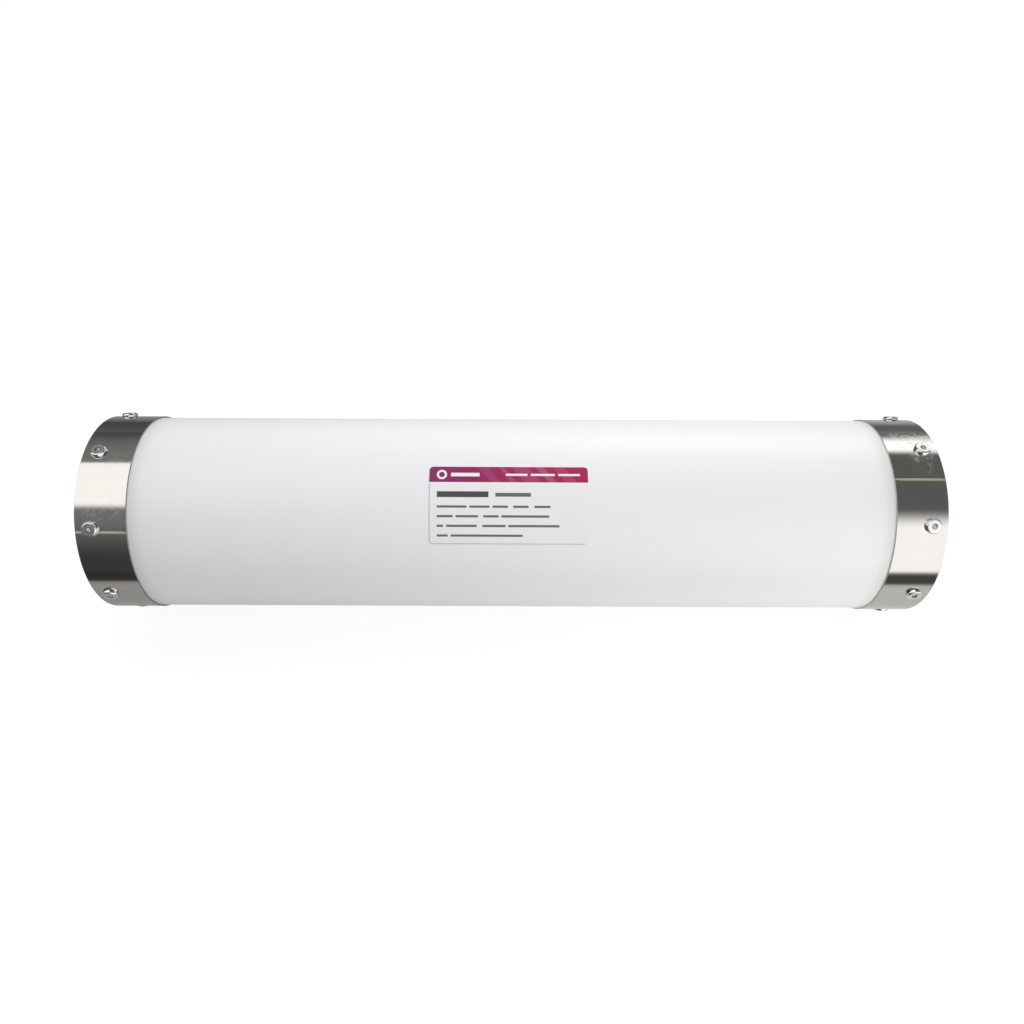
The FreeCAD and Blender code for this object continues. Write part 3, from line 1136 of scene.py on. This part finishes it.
@dataclass
class EndBand:
    """Stainless band round one end of the tube, with the bead of its welded seam."""

    end: End
    finish: BandSteel
    edge: float = 0.25 * MM
    rows_from_mouth: tuple[float, ...] = (3 * MM, 25 * MM, 30 * MM, 35 * MM, 40 * MM)
    bead_width: float = 2.2 * MM
    bead_height: float = 0.14 * MM
    bead_step: float = 0.5 * MM
    bead_root: float = 0.06 * MM
    bead_inset: float = 0.6 * MM
    bead_columns: int = 8
    head_clearance: float = 8 * MM
    half_gap: float = 6.3 * MM

    def build(self) -> None:
        """Builds and dresses the band and its seam."""
        side = self.end.side
        low, high = sorted((self.end.along(0.0), self.end.along(BAND_WIDTH)))
        edge = self.edge
        top = BAND_OUTER_RADIUS
        right_lip = arc_points((high - edge, top - edge), edge, 90, 0)[1:] + [(high, BAND_INNER_RADIUS)]
        left_lip = [(low, BAND_INNER_RADIUS)] + arc_points((low + edge, top - edge), edge, 180, 90)[:-1]
        stations = [low + edge, high - edge, *(self.end.along(depth) for depth in self.rows_from_mouth)]
        holes = [HoleRow(side * SCREW_STATION, self.end.first_screw)]
        wall = HoledWall(left_lip, right_lip, top, BAND_INNER_RADIUS, stations, holes)
        dress(wall.build(self.end.node("steel_band")), self.finish, self.end.node("band"))
        self._seam()

    def _seam(self) -> None:
        """Low rippled bead along the seam, in two runs where a screw's head covers it."""
        angle = self.finish.seam_angle
        centre = SCREW_STATION * self.end.side
        screws = [self.end.first_screw + 360 * index / SCREW_COUNT for index in range(SCREW_COUNT)]
        nearest = min(abs(angle - screw) for screw in screws)
        under_head = math.radians(nearest) * BAND_OUTER_RADIUS < self.head_clearance
        mouth = self.end.along(self.bead_inset)
        inner = self.end.along(BAND_WIDTH - self.bead_inset)
        gap = self.half_gap * self.end.side
        runs = [(mouth, centre + gap), (centre - gap, inner)] if under_head else [(mouth, inner)]
        shell = Shell()
        for start, finish in runs:
            self._bead(shell, start, finish, angle)
        steel = SeamSteel("band_steel", "ground_weld")
        dress(shell.build(self.end.node("band_seam"), smooth_below=60.0), steel)

    def _bead(self, shell: Shell, start: float, finish: float, angle: float) -> None:
        """One run of the bead.

        Args:
            shell: the seam.
            start: x of its outer end.
            finish: x of its inner end.
            angle: its angle round the tube.
        """
        steps = max(8, int(abs(finish - start) / self.bead_step))
        across = self.bead_columns
        rows = []
        for step in range(steps + 1):
            x = start + (finish - start) * step / steps
            taper = min(1.0, 4 * min(step, steps - step) / steps + 0.15)
            ripple = 0.85 + 0.15 * math.cos(step * 2.1)
            section = []
            for place in range(across + 1):
                share = 2 * place / across - 1
                lift = self.bead_height * (1 - share * share) * taper * ripple - 0.01 * MM
                turn = math.degrees(share * self.bead_width / 2 / BAND_OUTER_RADIUS)
                section.append(on_tube(x, BAND_OUTER_RADIUS + lift, angle + turn))
            for place in (across, 0):
                share = 2 * place / across - 1
                turn = math.degrees(share * self.bead_width / 2 / BAND_OUTER_RADIUS)
                section.append(on_tube(x, BAND_OUTER_RADIUS - self.bead_root, angle + turn))
            rows.append(shell.add(section))
        shell.loft(rows)
        shell.cap(rows[0])
        shell.cap(rows[-1])


@dataclass
class ScrewHead:
    """Button-head screw along +Z with a hexagon socket, its head's underside at z = 0."""

    around: int = 72
    head_radius: float = 7 * MM
    head_height: float = 3.2 * MM
    rim_height: float = 0.9 * MM
    face_radius: float = 6 * MM
    bulge: float = 0.3 * MM
    face_round: float = 0.9 * MM
    shoulder_steps: int = 6
    shank_radius: float = 4 * MM
    length: float = 20 * MM
    tip: float = 1 * MM
    across_flats: float = 4 * MM
    socket_depth: float = 2.0 * MM
    socket_tip: float = 0.5 * MM
    socket_edge: float = 0.2 * MM
    seat_edge: float = 0.2 * MM
    face_width: float = 0.6 * MM

    def _round_row(self, shell: Shell, radius: float, z: float) -> list[int]:
        """Round row of points."""
        turns = [2 * math.pi * index / self.around for index in range(self.around)]
        return shell.add((radius * math.cos(turn), radius * math.sin(turn), z) for turn in turns)

    def _hexagon_row(self, shell: Shell, half_flats: float, z: float) -> list[int]:
        """Row of points on a hexagon."""
        points = []
        for index in range(self.around):
            turn = 360 * index / self.around
            reach = half_flats / math.cos(math.radians((turn + 30) % 60 - 30))
            points.append((reach * math.cos(math.radians(turn)), reach * math.sin(math.radians(turn)), z))
        return shell.add(points)

    def _shoulder(self) -> list[tuple[float, float]]:
        """Bulging shoulder from the rim and round edge up to the flat face, as (radius, z)."""
        low = Vector((self.head_radius, self.rim_height))
        chord = Vector((self.face_radius, self.head_height)) - low
        outward = Vector((chord.y, -chord.x)).normalized()
        top = 1 - self.face_round / chord.length
        steps = self.shoulder_steps
        points = []
        for step in range(steps + 1):
            share = top * step / steps
            points.append(low + chord * share + outward * (4 * self.bulge * share * (1 - share)))
        start = points[-1]
        along = chord + outward * (4 * self.bulge * (1 - 2 * top))
        corner = start + along * ((self.head_height - start.y) / along.y)
        end = corner - Vector((self.face_round, 0.0))
        for step in range(1, steps + 1):
            share = step / steps
            points.append(start * (1 - share) ** 2 + corner * (2 * share * (1 - share)) + end * share ** 2)
        return [tuple(point) for point in points]

    def mesh(self) -> bpy.types.Mesh:
        """The screw's mesh, with an attribute that gives each point's own place on the screw.

        Returns:
            The mesh.
        """
        shell = Shell()
        outside = [
            (self.shank_radius - self.tip, -self.length),
            (self.shank_radius, self.tip - self.length),
            (self.shank_radius, 0.0),
            (self.head_radius - self.seat_edge, 0.0),
            (self.head_radius, self.seat_edge),
            *self._shoulder(),
        ]
        outside.append((outside[-1][0] - self.face_width, self.head_height))
        rows = [self._round_row(shell, radius, z) for radius, z in outside]
        half = self.across_flats / 2
        floor = self.head_height - self.socket_depth
        rows.append(self._hexagon_row(shell, half + self.socket_edge, self.head_height))
        rows.append(self._hexagon_row(shell, half, self.head_height - self.socket_edge))
        rows.append(self._hexagon_row(shell, half, floor))
        rows.append(self._round_row(shell, half * 0.98, floor))
        rows.append(self._round_row(shell, half * 0.04, floor - self.socket_tip))
        shell.loft(rows)
        shell.cap(rows[0])
        shell.cap(rows[-1])
        piece = shell.build("screw_blank")
        mesh = piece.data
        local = mesh.attributes.new(SCREW_PLACE, "FLOAT_VECTOR", "POINT")
        local.data.foreach_set("vector", [part for vertex in mesh.vertices for part in vertex.co])
        bpy.data.objects.remove(piece)
        return mesh


@dataclass
class ScrewSet:
    """The screws of one end, set round the band by a tree of nodes."""

    end: End
    blank: bpy.types.Mesh
    finish: TurnedSteel
    socket_turn: float = 23.0
    turn_spread: float = 9.0
    seed: int = 11

    def build(self) -> None:
        """Builds and dresses the screws."""
        blank = bpy.data.objects.new("screw_blank", self.blank)
        bpy.context.scene.collection.objects.link(blank)
        carrier = bpy.data.objects.new("screw_carrier", bpy.data.meshes.new("screw_carrier"))
        bpy.context.scene.collection.objects.link(carrier)
        tree, names = self._tree()
        modifier = carrier.modifiers.new("screws", "NODES")
        modifier.node_group = tree
        values = {
            "Screw": blank,
            "Count": SCREW_COUNT,
            "Station": SCREW_STATION * self.end.side,
            "Seat Radius": BAND_OUTER_RADIUS,
            "Axis Height": AXIS_HEIGHT,
            "First Angle": math.radians(self.end.first_screw),
            "Socket Turn": math.radians(self.socket_turn),
            "Turn Spread": math.radians(self.turn_spread),
        }
        for name, value in values.items():
            modifier[names[name]] = value
        depsgraph = bpy.context.evaluated_depsgraph_get()
        mesh = bpy.data.meshes.new_from_object(carrier.evaluated_get(depsgraph))
        carrier.modifiers.remove(modifier)
        bpy.data.objects.remove(carrier)
        bpy.data.objects.remove(blank)
        mesh.name = self.end.node("socket_screws")
        piece = bpy.data.objects.new(mesh.name, mesh)
        bpy.context.scene.collection.objects.link(piece)
        dress(piece, self.finish, self.end.node("screws"))

    def _tree(self) -> tuple[bpy.types.NodeTree, dict[str, str]]:
        """Tree that seats copies of a screw round the band.

        Returns:
            The tree and the identifier of each named input.
        """
        tree = bpy.data.node_groups.new(self.end.node("screw_seats"), "GeometryNodeTree")
        kinds = {"Screw": "NodeSocketObject", "Count": "NodeSocketInt"}
        numbers = ("Station", "Seat Radius", "Axis Height", "First Angle", "Socket Turn", "Turn Spread")
        kinds.update({name: "NodeSocketFloat" for name in numbers})
        names = {}
        for name, kind in kinds.items():
            names[name] = tree.interface.new_socket(name=name, in_out="INPUT", socket_type=kind).identifier
        tree.interface.new_socket(name="Geometry", in_out="OUTPUT", socket_type="NodeSocketGeometry")
        graph = Graph(tree)
        inlet = graph.node("NodeGroupInput").socket.node
        given = {name: Signal(graph, inlet.outputs[name]) for name in kinds}
        index = graph.node("GeometryNodeInputIndex")
        angle = given["First Angle"] + index * (given["Count"].math("DIVIDE", first=2 * math.pi))
        y = angle.math("COSINE") * given["Seat Radius"] * -1.0
        z = angle.math("SINE") * given["Seat Radius"] + given["Axis Height"]
        place = graph.join(given["Station"], y, z)
        seats = graph.node("GeometryNodePoints", {}, {"Count": given["Count"], "Position": place})
        lean = graph.join(math.pi / 2 - angle, 0.0, 0.0)
        outward = graph.node("FunctionNodeEulerToRotation", {}, {0: lean})
        draw = {2: -1.0, 3: 1.0, "ID": index, "Seed": self.seed}
        loose = graph.node("FunctionNodeRandomValue", {"data_type": "FLOAT"}, draw, 1)
        turn = given["Socket Turn"] * index + given["Turn Spread"] * loose
        own = graph.node("FunctionNodeEulerToRotation", {}, {0: graph.join(0.0, 0.0, turn)})
        local = {"rotation_space": "LOCAL"}
        rotation = graph.node("FunctionNodeRotateRotation", local, {0: outward, 1: own})
        own_space = {"transform_space": "ORIGINAL"}
        screw = graph.node("GeometryNodeObjectInfo", own_space, {0: given["Screw"]}, "Geometry")
        seated = {"Points": seats, "Instance": screw, "Rotation": rotation}
        copies = graph.node("GeometryNodeInstanceOnPoints", {}, seated)
        real = graph.node("GeometryNodeRealizeInstances", {}, {0: copies})
        finished = graph.node("GeometryNodeSetMaterial", {}, {0: real, "Material": self.finish.material()})
        graph.place("NodeGroupOutput", {}, {0: finished})
        return tree, names


@dataclass
class PortFitting:
    """Flanged bushing in the plug's middle, with a threaded mouth and two spanner holes."""

    end: End
    finish: TurnedSteel
    face_depth: float = 2 * MM
    flange_radius: float = 17 * MM
    flange_thickness: float = 4 * MM
    flange_chamfer: float = 0.6 * MM
    body_radius: float = 12 * MM
    body_length: float = 24 * MM
    crest_radius: float = 7.5 * MM
    root_radius: float = 8.3 * MM
    mouth_radius: float = 8.9 * MM
    pitch: float = 1.337 * MM
    thread_start: float = 1.2 * MM
    thread_runout: float = 2 * MM
    thread_depth: float = 16 * MM
    steps_per_pitch: int = 10
    flow_radius: float = 3 * MM
    spanner_radius: float = 2 * MM
    spanner_depth: float = 2.5 * MM
    spanner_tip: float = 0.9 * MM
    spanner_circle: float = 12.6 * MM
    segments: int = 144
    drill_segments: int = 40

    def _row(self, shell: Shell, depth: float, radius: float) -> list[int]:
        """Round row at a depth inside the flange's face."""
        x = self.end.along(self.face_depth + depth)
        angles = [360 * column / self.segments for column in range(self.segments)]
        return shell.add(on_tube(x, radius, angle) for angle in angles)

    def build(self) -> None:
        """Builds and dresses the fitting."""
        shell = Shell()
        length = self.flange_thickness + self.body_length
        outline = [
            (0.0, self.mouth_radius),
            (0.0, self.flange_radius - self.flange_chamfer),
            (self.flange_chamfer, self.flange_radius),
            (self.flange_thickness, self.flange_radius),
            (self.flange_thickness, self.body_radius),
            (length, self.body_radius),
            (length, self.flow_radius),
            (self.thread_depth, self.flow_radius),
            (self.thread_depth, self.root_radius),
        ]
        rows = [self._row(shell, depth, radius) for depth, radius in outline]
        shell.loft([*rows, *self._bore(shell), rows[0]])
        piece = shell.build(self.end.node("bushing"))
        self._drill_spanner_holes(piece)
        dress(piece, self.finish, self.end.node("port_fitting"))

    def _bore(self, shell: Shell) -> list[list[int]]:
        """Rows of the threaded bore from its bottom to its mouth.

        Args:
            shell: the fitting.

        Returns:
            The rows.
        """
        start = self.thread_start
        stop = self.thread_depth - self.thread_runout
        steps = int((stop - start) / self.pitch * self.steps_per_pitch)
        rows = []
        for step in range(steps, -1, -1):
            depth = start + (stop - start) * step / steps
            fade = min(1.0, (depth - start) / self.pitch, (stop - depth) / self.pitch)
            row = []
            for column in range(self.segments):
                share = column / self.segments
                wave = abs(((depth / self.pitch + share) % 1.0) * 2 - 1)
                shape = min(1.0, max(0.0, (wave - 0.12) / 0.76)) * max(0.0, fade)
                radius = self.root_radius + (self.crest_radius - self.root_radius) * shape
                row.append(on_tube(self.end.along(self.face_depth + depth), radius, 360 * share))
            rows.append(shell.add(row))
        return rows

    def _drill_spanner_holes(self, piece: bpy.types.Object) -> None:
        """Cuts the two blind holes for a pin spanner into the flange's face.

        Args:
            piece: the fitting.
        """
        shell = Shell()
        near = self.end.along(self.face_depth - 1 * MM)
        far = self.end.along(self.face_depth + self.spanner_depth)
        tip = self.end.along(self.face_depth + self.spanner_depth + self.spanner_tip)
        turns = [2 * math.pi * index / self.drill_segments for index in range(self.drill_segments)]
        for side in (-1, 1):
            rows = []
            for x, radius in ((near, self.spanner_radius), (far, self.spanner_radius), (tip, 0.05 * MM)):
                circle = [(radius * math.cos(turn), radius * math.sin(turn)) for turn in turns]
                middle = side * self.spanner_circle
                rows.append(shell.add((x, middle + y, AXIS_HEIGHT + z) for y, z in circle))
            shell.loft(rows)
            shell.cap(rows[0])
            shell.cap(rows[-1])
        drill = shell.build("spanner_drill")
        cut = piece.modifiers.new("spanner_holes", "BOOLEAN")
        cut.operation = "DIFFERENCE"
        cut.solver = "EXACT"
        cut.object = drill
        depsgraph = bpy.context.evaluated_depsgraph_get()
        mesh = bpy.data.meshes.new_from_object(piece.evaluated_get(depsgraph))
        piece.modifiers.remove(cut)
        mesh.name = piece.name
        piece.data = mesh
        mesh.set_sharp_from_angle(angle=math.radians(SMOOTH_BELOW))
        bpy.data.objects.remove(drill)


@dataclass
class PrintedLabel:
    """Thin label bent round the tube, with rounded corners."""

    finish: LabelPrint
    offset: float = -2.8 * MM
    middle_angle: float = 79.2
    inner_radius: float = 91.08 * MM
    thickness: float = 0.2 * MM
    columns: int = 48
    corner_steps: int = 8
    middle_steps: int = 40

    def _levels(self) -> list[float]:
        """Heights of the rows from the lower edge, closer together in the corners."""
        turns = [math.pi / 2 * step / self.corner_steps for step in range(self.corner_steps + 1)]
        low = [LABEL_CORNER * (1 - math.cos(turn)) for turn in turns]
        between = LABEL_HEIGHT - 2 * LABEL_CORNER
        middle = [LABEL_CORNER + between * step / self.middle_steps for step in range(1, self.middle_steps)]
        high = [LABEL_HEIGHT - level for level in reversed(low)]
        return low + middle + high

    def _reach(self, level: float) -> float:
        """Half the label's length at a height."""
        inset = max(0.0, LABEL_CORNER - min(level, LABEL_HEIGHT - level))
        return LABEL_LENGTH / 2 - LABEL_CORNER + math.sqrt(LABEL_CORNER ** 2 - inset ** 2)

    def build(self) -> None:
        """Builds and dresses the label."""
        shell = Shell()
        levels = self._levels()
        outer_radius = self.inner_radius + self.thickness
        borders = []
        for radius in (outer_radius, self.inner_radius):
            sheet = []
            for level in levels:
                reach = self._reach(level)
                angle = self.middle_angle + math.degrees((level - LABEL_HEIGHT / 2) / TUBE_RADIUS)
                xs = [reach * (2 * column / self.columns - 1) for column in range(self.columns + 1)]
                sheet.append(shell.add(on_tube(self.offset + x, radius, angle) for x in xs))
            shell.loft(sheet, closed=False)
            right_side = [row[-1] for row in sheet[:-1]]
            left_side = [row[0] for row in sheet[:0:-1]]
            borders.append(sheet[0][:-1] + right_side + sheet[-1][:0:-1] + left_side)
        shell.strip(borders[0], borders[1])
        piece = shell.build("printed_label", smooth_below=40.0)
        self._unfold(piece.data)
        exact_normals(piece, (outer_radius, self.inner_radius))
        dress(piece, self.finish, "label")

    def _unfold(self, mesh: bpy.types.Mesh) -> None:
        """Gives the label a UV map that runs from 0 to 1 along and round the tube.

        Args:
            mesh: the label's mesh.
        """
        layer = mesh.uv_layers.new(name="print")
        arc = LABEL_HEIGHT / TUBE_RADIUS
        for loop in mesh.loops:
            place = mesh.vertices[loop.vertex_index].co
            angle = math.atan2(place.z - AXIS_HEIGHT, -place.y) - math.radians(self.middle_angle)
            layer.data[loop.index].uv = ((place.x - self.offset) / LABEL_LENGTH + 0.5, angle / arc + 0.5)


# Studio


@dataclass(frozen=True)
class Softbox:
    """Bright stretch that the steel reflects, in degrees round the tube, with a soft edge at each side."""

    low: float
    high: float
    low_blur: float
    high_blur: float
    level: float

    def glow(self, angle: Signal) -> Signal:
        """Brightness that it gives.

        Args:
            angle: angle round the tube, in degrees.

        Returns:
            The brightness.
        """
        half = (self.high - self.low) / 2
        off = (angle - (self.low + half)).math("WRAP", 180.0, -180.0)
        rise = off.rise(-half - self.low_blur / 2, -half + self.low_blur / 2)
        return rise * off.rise(half + self.high_blur / 2, half - self.high_blur / 2) * self.level


@dataclass(frozen=True)
class Lamp:
    """Soft rectangular lamp: place, aim and size in metres, power in watts."""

    name: str
    place: Point
    aim: Point
    size: tuple[float, float]
    power: float


@dataclass
class Studio:
    """Camera, floor, lamps and surroundings; the camera's angles are in degrees."""

    picture: int = 1024
    focal_pixels: float = 821.5
    sensor: float = 36.0
    distance: float = 805.5 * MM
    elevation: float = 75.0
    camera_x: float = -0.8 * MM
    yaw: float = -0.086
    roll: float = 0.268
    picture_down: float = 0.73
    floor_reach: float = 6.0

    def build(self) -> None:
        """Builds the studio."""
        self._camera()
        self._floor()
        self._surroundings()
        for lamp in LAMPS:
            self._lamp(lamp)
        bpy.context.scene.view_settings.view_transform = "Standard"

    def _camera(self) -> None:
        """Camera at the photograph's place."""
        data = bpy.data.cameras.new("camera")
        data.sensor_width = self.sensor
        data.lens = self.sensor * self.focal_pixels / self.picture
        data.shift_y = self.picture_down / self.picture
        data.clip_start = 0.01
        camera = bpy.data.objects.new("camera", data)
        bpy.context.scene.collection.objects.link(camera)
        rise = math.radians(self.elevation)
        back = Vector((0.0, -math.cos(rise), math.sin(rise)))
        up = Vector((0.0, math.sin(rise), math.cos(rise)))
        yaw, roll = math.radians(self.yaw), math.radians(self.roll)
        ahead = -back * math.cos(yaw) - Vector((1.0, 0.0, 0.0)) * math.sin(yaw)
        right = Vector((1.0, 0.0, 0.0)) * math.cos(yaw) - back * math.sin(yaw)
        turned_right = right * math.cos(roll) + up * math.sin(roll)
        turned_up = up * math.cos(roll) - right * math.sin(roll)
        place = Vector((self.camera_x, 0.0, AXIS_HEIGHT)) + back * self.distance
        rotation = Matrix((turned_right, turned_up, -ahead)).transposed().to_4x4()
        camera.matrix_world = Matrix.Translation(place) @ rotation
        bpy.context.scene.camera = camera

    def _floor(self) -> None:
        """Pale floor that keeps the shadow, shows white to the camera and glows, brighter and darker by
        place, where the steel reflects it.
        """
        shell = Shell()
        reach = self.floor_reach
        corners = ((-reach, -reach), (reach, -reach), (reach, reach), (-reach, reach))
        shell.cap(shell.add((x, y, 0.0) for x, y in corners))
        floor = shell.build("floor")
        material = bpy.data.materials.new("pale_floor")
        material.use_nodes = True
        material.cycles.emission_sampling = "NONE"
        graph = Graph(material.node_tree)
        ray = graph.node("ShaderNodeLightPath", {}, {}, "Is Camera Ray")
        outputs = ray.socket.node.outputs
        seen = ray.math("MAXIMUM", Signal(graph, outputs["Is Transmission Ray"]))
        glossy = Signal(graph, outputs["Is Glossy Ray"])
        x, y, _ = graph.split(graph.coordinates(Coordinates.OBJECT))
        # glow that only the steel's reflections see
        depth = (y / 2.0 + 0.5).ramp(FLOOR_TONES)
        side = graph.mix(x.rise(-0.3, 0.3), FLOOR_AT_INLET, FLOOR_AT_OUTLET)
        reflected = graph.node("ShaderNodeVectorMath", {"operation": "MULTIPLY"}, {0: depth, 1: side})
        near = graph.add(graph.matt(FLOOR_SHADED), graph.glow(FLOOR_GLOW))
        away = (x * x + y * y).math("SQRT").rise(*FLOOR_FADE)
        white = graph.blend(away, near, graph.glow(WHITE))
        shader = graph.blend(seen, graph.matt(FLOOR_PLAIN), white)
        graph.surface(graph.blend(glossy, shader, graph.glow(reflected)))
        floor.data.materials.append(material)

    def _surroundings(self) -> None:
        """White to the camera, soft light on the object, and bright and dark sides in the metal."""
        world = bpy.data.worlds.new("studio")
        world.use_nodes = True
        world.cycles.sampling_method = "NONE"
        bpy.context.scene.world = world
        graph = Graph(world.node_tree)
        x, y, z = graph.split(graph.node("ShaderNodeTexCoord", output="Generated"))
        around = z.math("ARCTAN2", y * -1.0) * math.degrees(1.0)
        inlet = sum(box.glow(around) for box in INLET_BOXES) + INLET_ROOM
        outlet = sum(box.glow(around) for box in OUTLET_BOXES) + OUTLET_ROOM
        boxes = graph.mix(x.rise(-0.12, 0.12), inlet, outlet)
        brighter = {0: boxes, "Scale": SOFTBOX_LEVEL}
        boxes = graph.node("ShaderNodeVectorMath", {"operation": "SCALE"}, brighter)
        soft = graph.mix((y + 1.0) / 2.0, FRONT_LIGHT, BACK_LIGHT)
        ray = graph.node("ShaderNodeLightPath", {}, {}, "Is Camera Ray")
        outputs = ray.socket.node.outputs
        seen = ray.math("MAXIMUM", Signal(graph, outputs["Is Transmission Ray"]))
        light = graph.mix(Signal(graph, outputs["Is Glossy Ray"]), soft, boxes)
        light = graph.mix(seen, light, WHITE)
        background = graph.node("ShaderNodeBackground", {}, {"Color": light, "Strength": 1.0})
        graph.surface(background, "ShaderNodeOutputWorld")

    def _lamp(self, lamp: Lamp) -> None:
        """Adds a lamp.

        Args:
            lamp: its place, size and power.
        """
        data = bpy.data.lights.new(lamp.name, "AREA")
        data.shape = "RECTANGLE"
        data.size, data.size_y = lamp.size
        data.energy = lamp.power
        light = bpy.data.objects.new(lamp.name, data)
        bpy.context.scene.collection.objects.link(light)
        light.location = lamp.place
        aim = Vector(lamp.aim) - Vector(lamp.place)
        light.rotation_euler = aim.to_track_quat("-Z", "Y").to_euler()
        light.visible_glossy = False
        light.visible_camera = False


INLET_SMUDGES = (
    Smudge(64.0, 76.0, 6 * MM, 42 * MM, 0.45),
    Smudge(103.0, 113.0, 22 * MM, 46 * MM, 0.35),
)
OUTLET_SMUDGES = (
    Smudge(113.0, 131.0, -2 * MM, 36 * MM, 1.0),
    Smudge(97.0, 111.0, 4 * MM, 26 * MM, 0.75),
)

WHITE: Colour = (1.0, 1.0, 1.0)
FLOOR_SHADED: Colour = (0.24, 0.24, 0.245)
FLOOR_GLOW: Colour = (0.84, 0.84, 0.84)
FLOOR_PLAIN: Colour = (0.55, 0.55, 0.55)
FLOOR_AT_INLET: Colour = (0.42, 0.42, 0.415)
FLOOR_AT_OUTLET: Colour = (0.74, 0.74, 0.73)
FLOOR_FADE = (0.55, 1.6)
SOFTBOX_LEVEL = 1.5
FRONT_LIGHT: Colour = (0.29, 0.29, 0.297)
BACK_LIGHT: Colour = (0.62, 0.62, 0.625)
INLET_ROOM = 0.04
INLET_BOXES = (
    Softbox(80.0, 133.0, 8.0, 2.0, 0.85),
    Softbox(45.0, 170.0, 60.0, 40.0, 0.12),
)
OUTLET_ROOM = 0.10
OUTLET_BOXES = (
    Softbox(3.0, 70.0, 6.0, 24.0, 0.9),
    Softbox(154.0, 176.0, 10.0, 16.0, 1.1),
)
# Place on the floor from 0 at y = -1 m to 1 at y = 1 m, and the brightness that the steel reflects there
FLOOR_TONES = (
    (0.0, 0.10), (0.19, 0.12), (0.25, 0.85), (0.32, 1.0), (0.42, 0.90), (0.57, 0.80), (0.63, 0.55),
    (0.68, 0.22), (0.80, 0.22), (1.0, 0.30),
)
LAMPS = (
    Lamp("back_lamp", (0.28, 0.9, 1.6), (0.0, 0.0, 0.1), (1.6, 1.0), 14.3),
    Lamp("left_lamp", (-1.15, 0.1, 0.38), (-0.38, 0.0, 0.09), (0.6, 0.6), 0.4),
    Lamp("top_lamp", (0.1, -0.3, 1.6), (0.0, 0.0, 0.1), (1.2, 0.5), 1.9),
    Lamp("right_lamp", (0.74, -0.98, 0.32), (0.1, 0.0, 0.1), (0.9, 0.45), 7.5),
    Lamp("low_lamp", (0.10, 0.65, 0.30), (0.1, 0.0, 0.1), (0.7, 0.3), 1.1),
)


def dress_inner_pieces() -> None:
    """Gives the pieces inside the tube their finishes."""
    silica = Granular("silica", "packed_silica", colour=(0.92, 0.92, 0.91), pore=(0.80, 0.80, 0.79),
                      grains_per_metre=5200.0)
    carry_over("silica_bed", silica)
    finishes = {
        "outer_seal": SealRubber("seal_rubber", "moulded_rubber"),
        "inner_seal": SealRubber("seal_rubber", "moulded_rubber"),
        "frit": Granular("frit_plastic", "sintered_frit"),
        "distributor": TurnedPlastic("distributor_plastic", "machined_plate", colour=(0.80, 0.80, 0.78),
                                     dull=(0.72, 0.72, 0.70), rings_per_metre=1300.0),
        "port_gasket": TurnedPlastic("gasket_plastic", "flat_gasket", colour=(0.88, 0.88, 0.86),
                                     dull=(0.80, 0.80, 0.78), rings_per_metre=400.0, roughness=0.5),
        "plug": TurnedPlastic("plug_plastic", "turned_plug"),
    }
    for end in End:
        for name, finish in finishes.items():
            carry_over(end.node(name), finish)


def main() -> None:
    """Builds the studio and every piece."""
    logging.basicConfig(level=logging.INFO, format="%(message)s")
    Studio().build()
    Tube().build()
    bands = {
        End.INLET: BandSteel("band_steel", "inlet_band_steel", end=End.INLET, seam_angle=63.1,
                             heat_tint=0.10, edge_shade=0.55, smudges=INLET_SMUDGES),
        End.OUTLET: BandSteel("band_steel", "outlet_band_steel", end=End.OUTLET, seam_angle=94.5,
                              heat_tint=0.75, edge_shade=0.0, smudges=OUTLET_SMUDGES),
    }
    blank = ScrewHead().mesh()
    screw_steel = ScrewSteel("screw_steel", "polished_screw_steel")
    fitting_steel = TurnedSteel("fitting_steel", "turned_fitting_steel")
    for end in End:
        EndBand(end, bands[end]).build()
        ScrewSet(end, blank, screw_steel).build()
        PortFitting(end, fitting_steel).build()
    PrintedLabel(LabelPrint("label_print", "printed_film")).build()
    dress_inner_pieces()


if __name__ == "__main__":
    main()
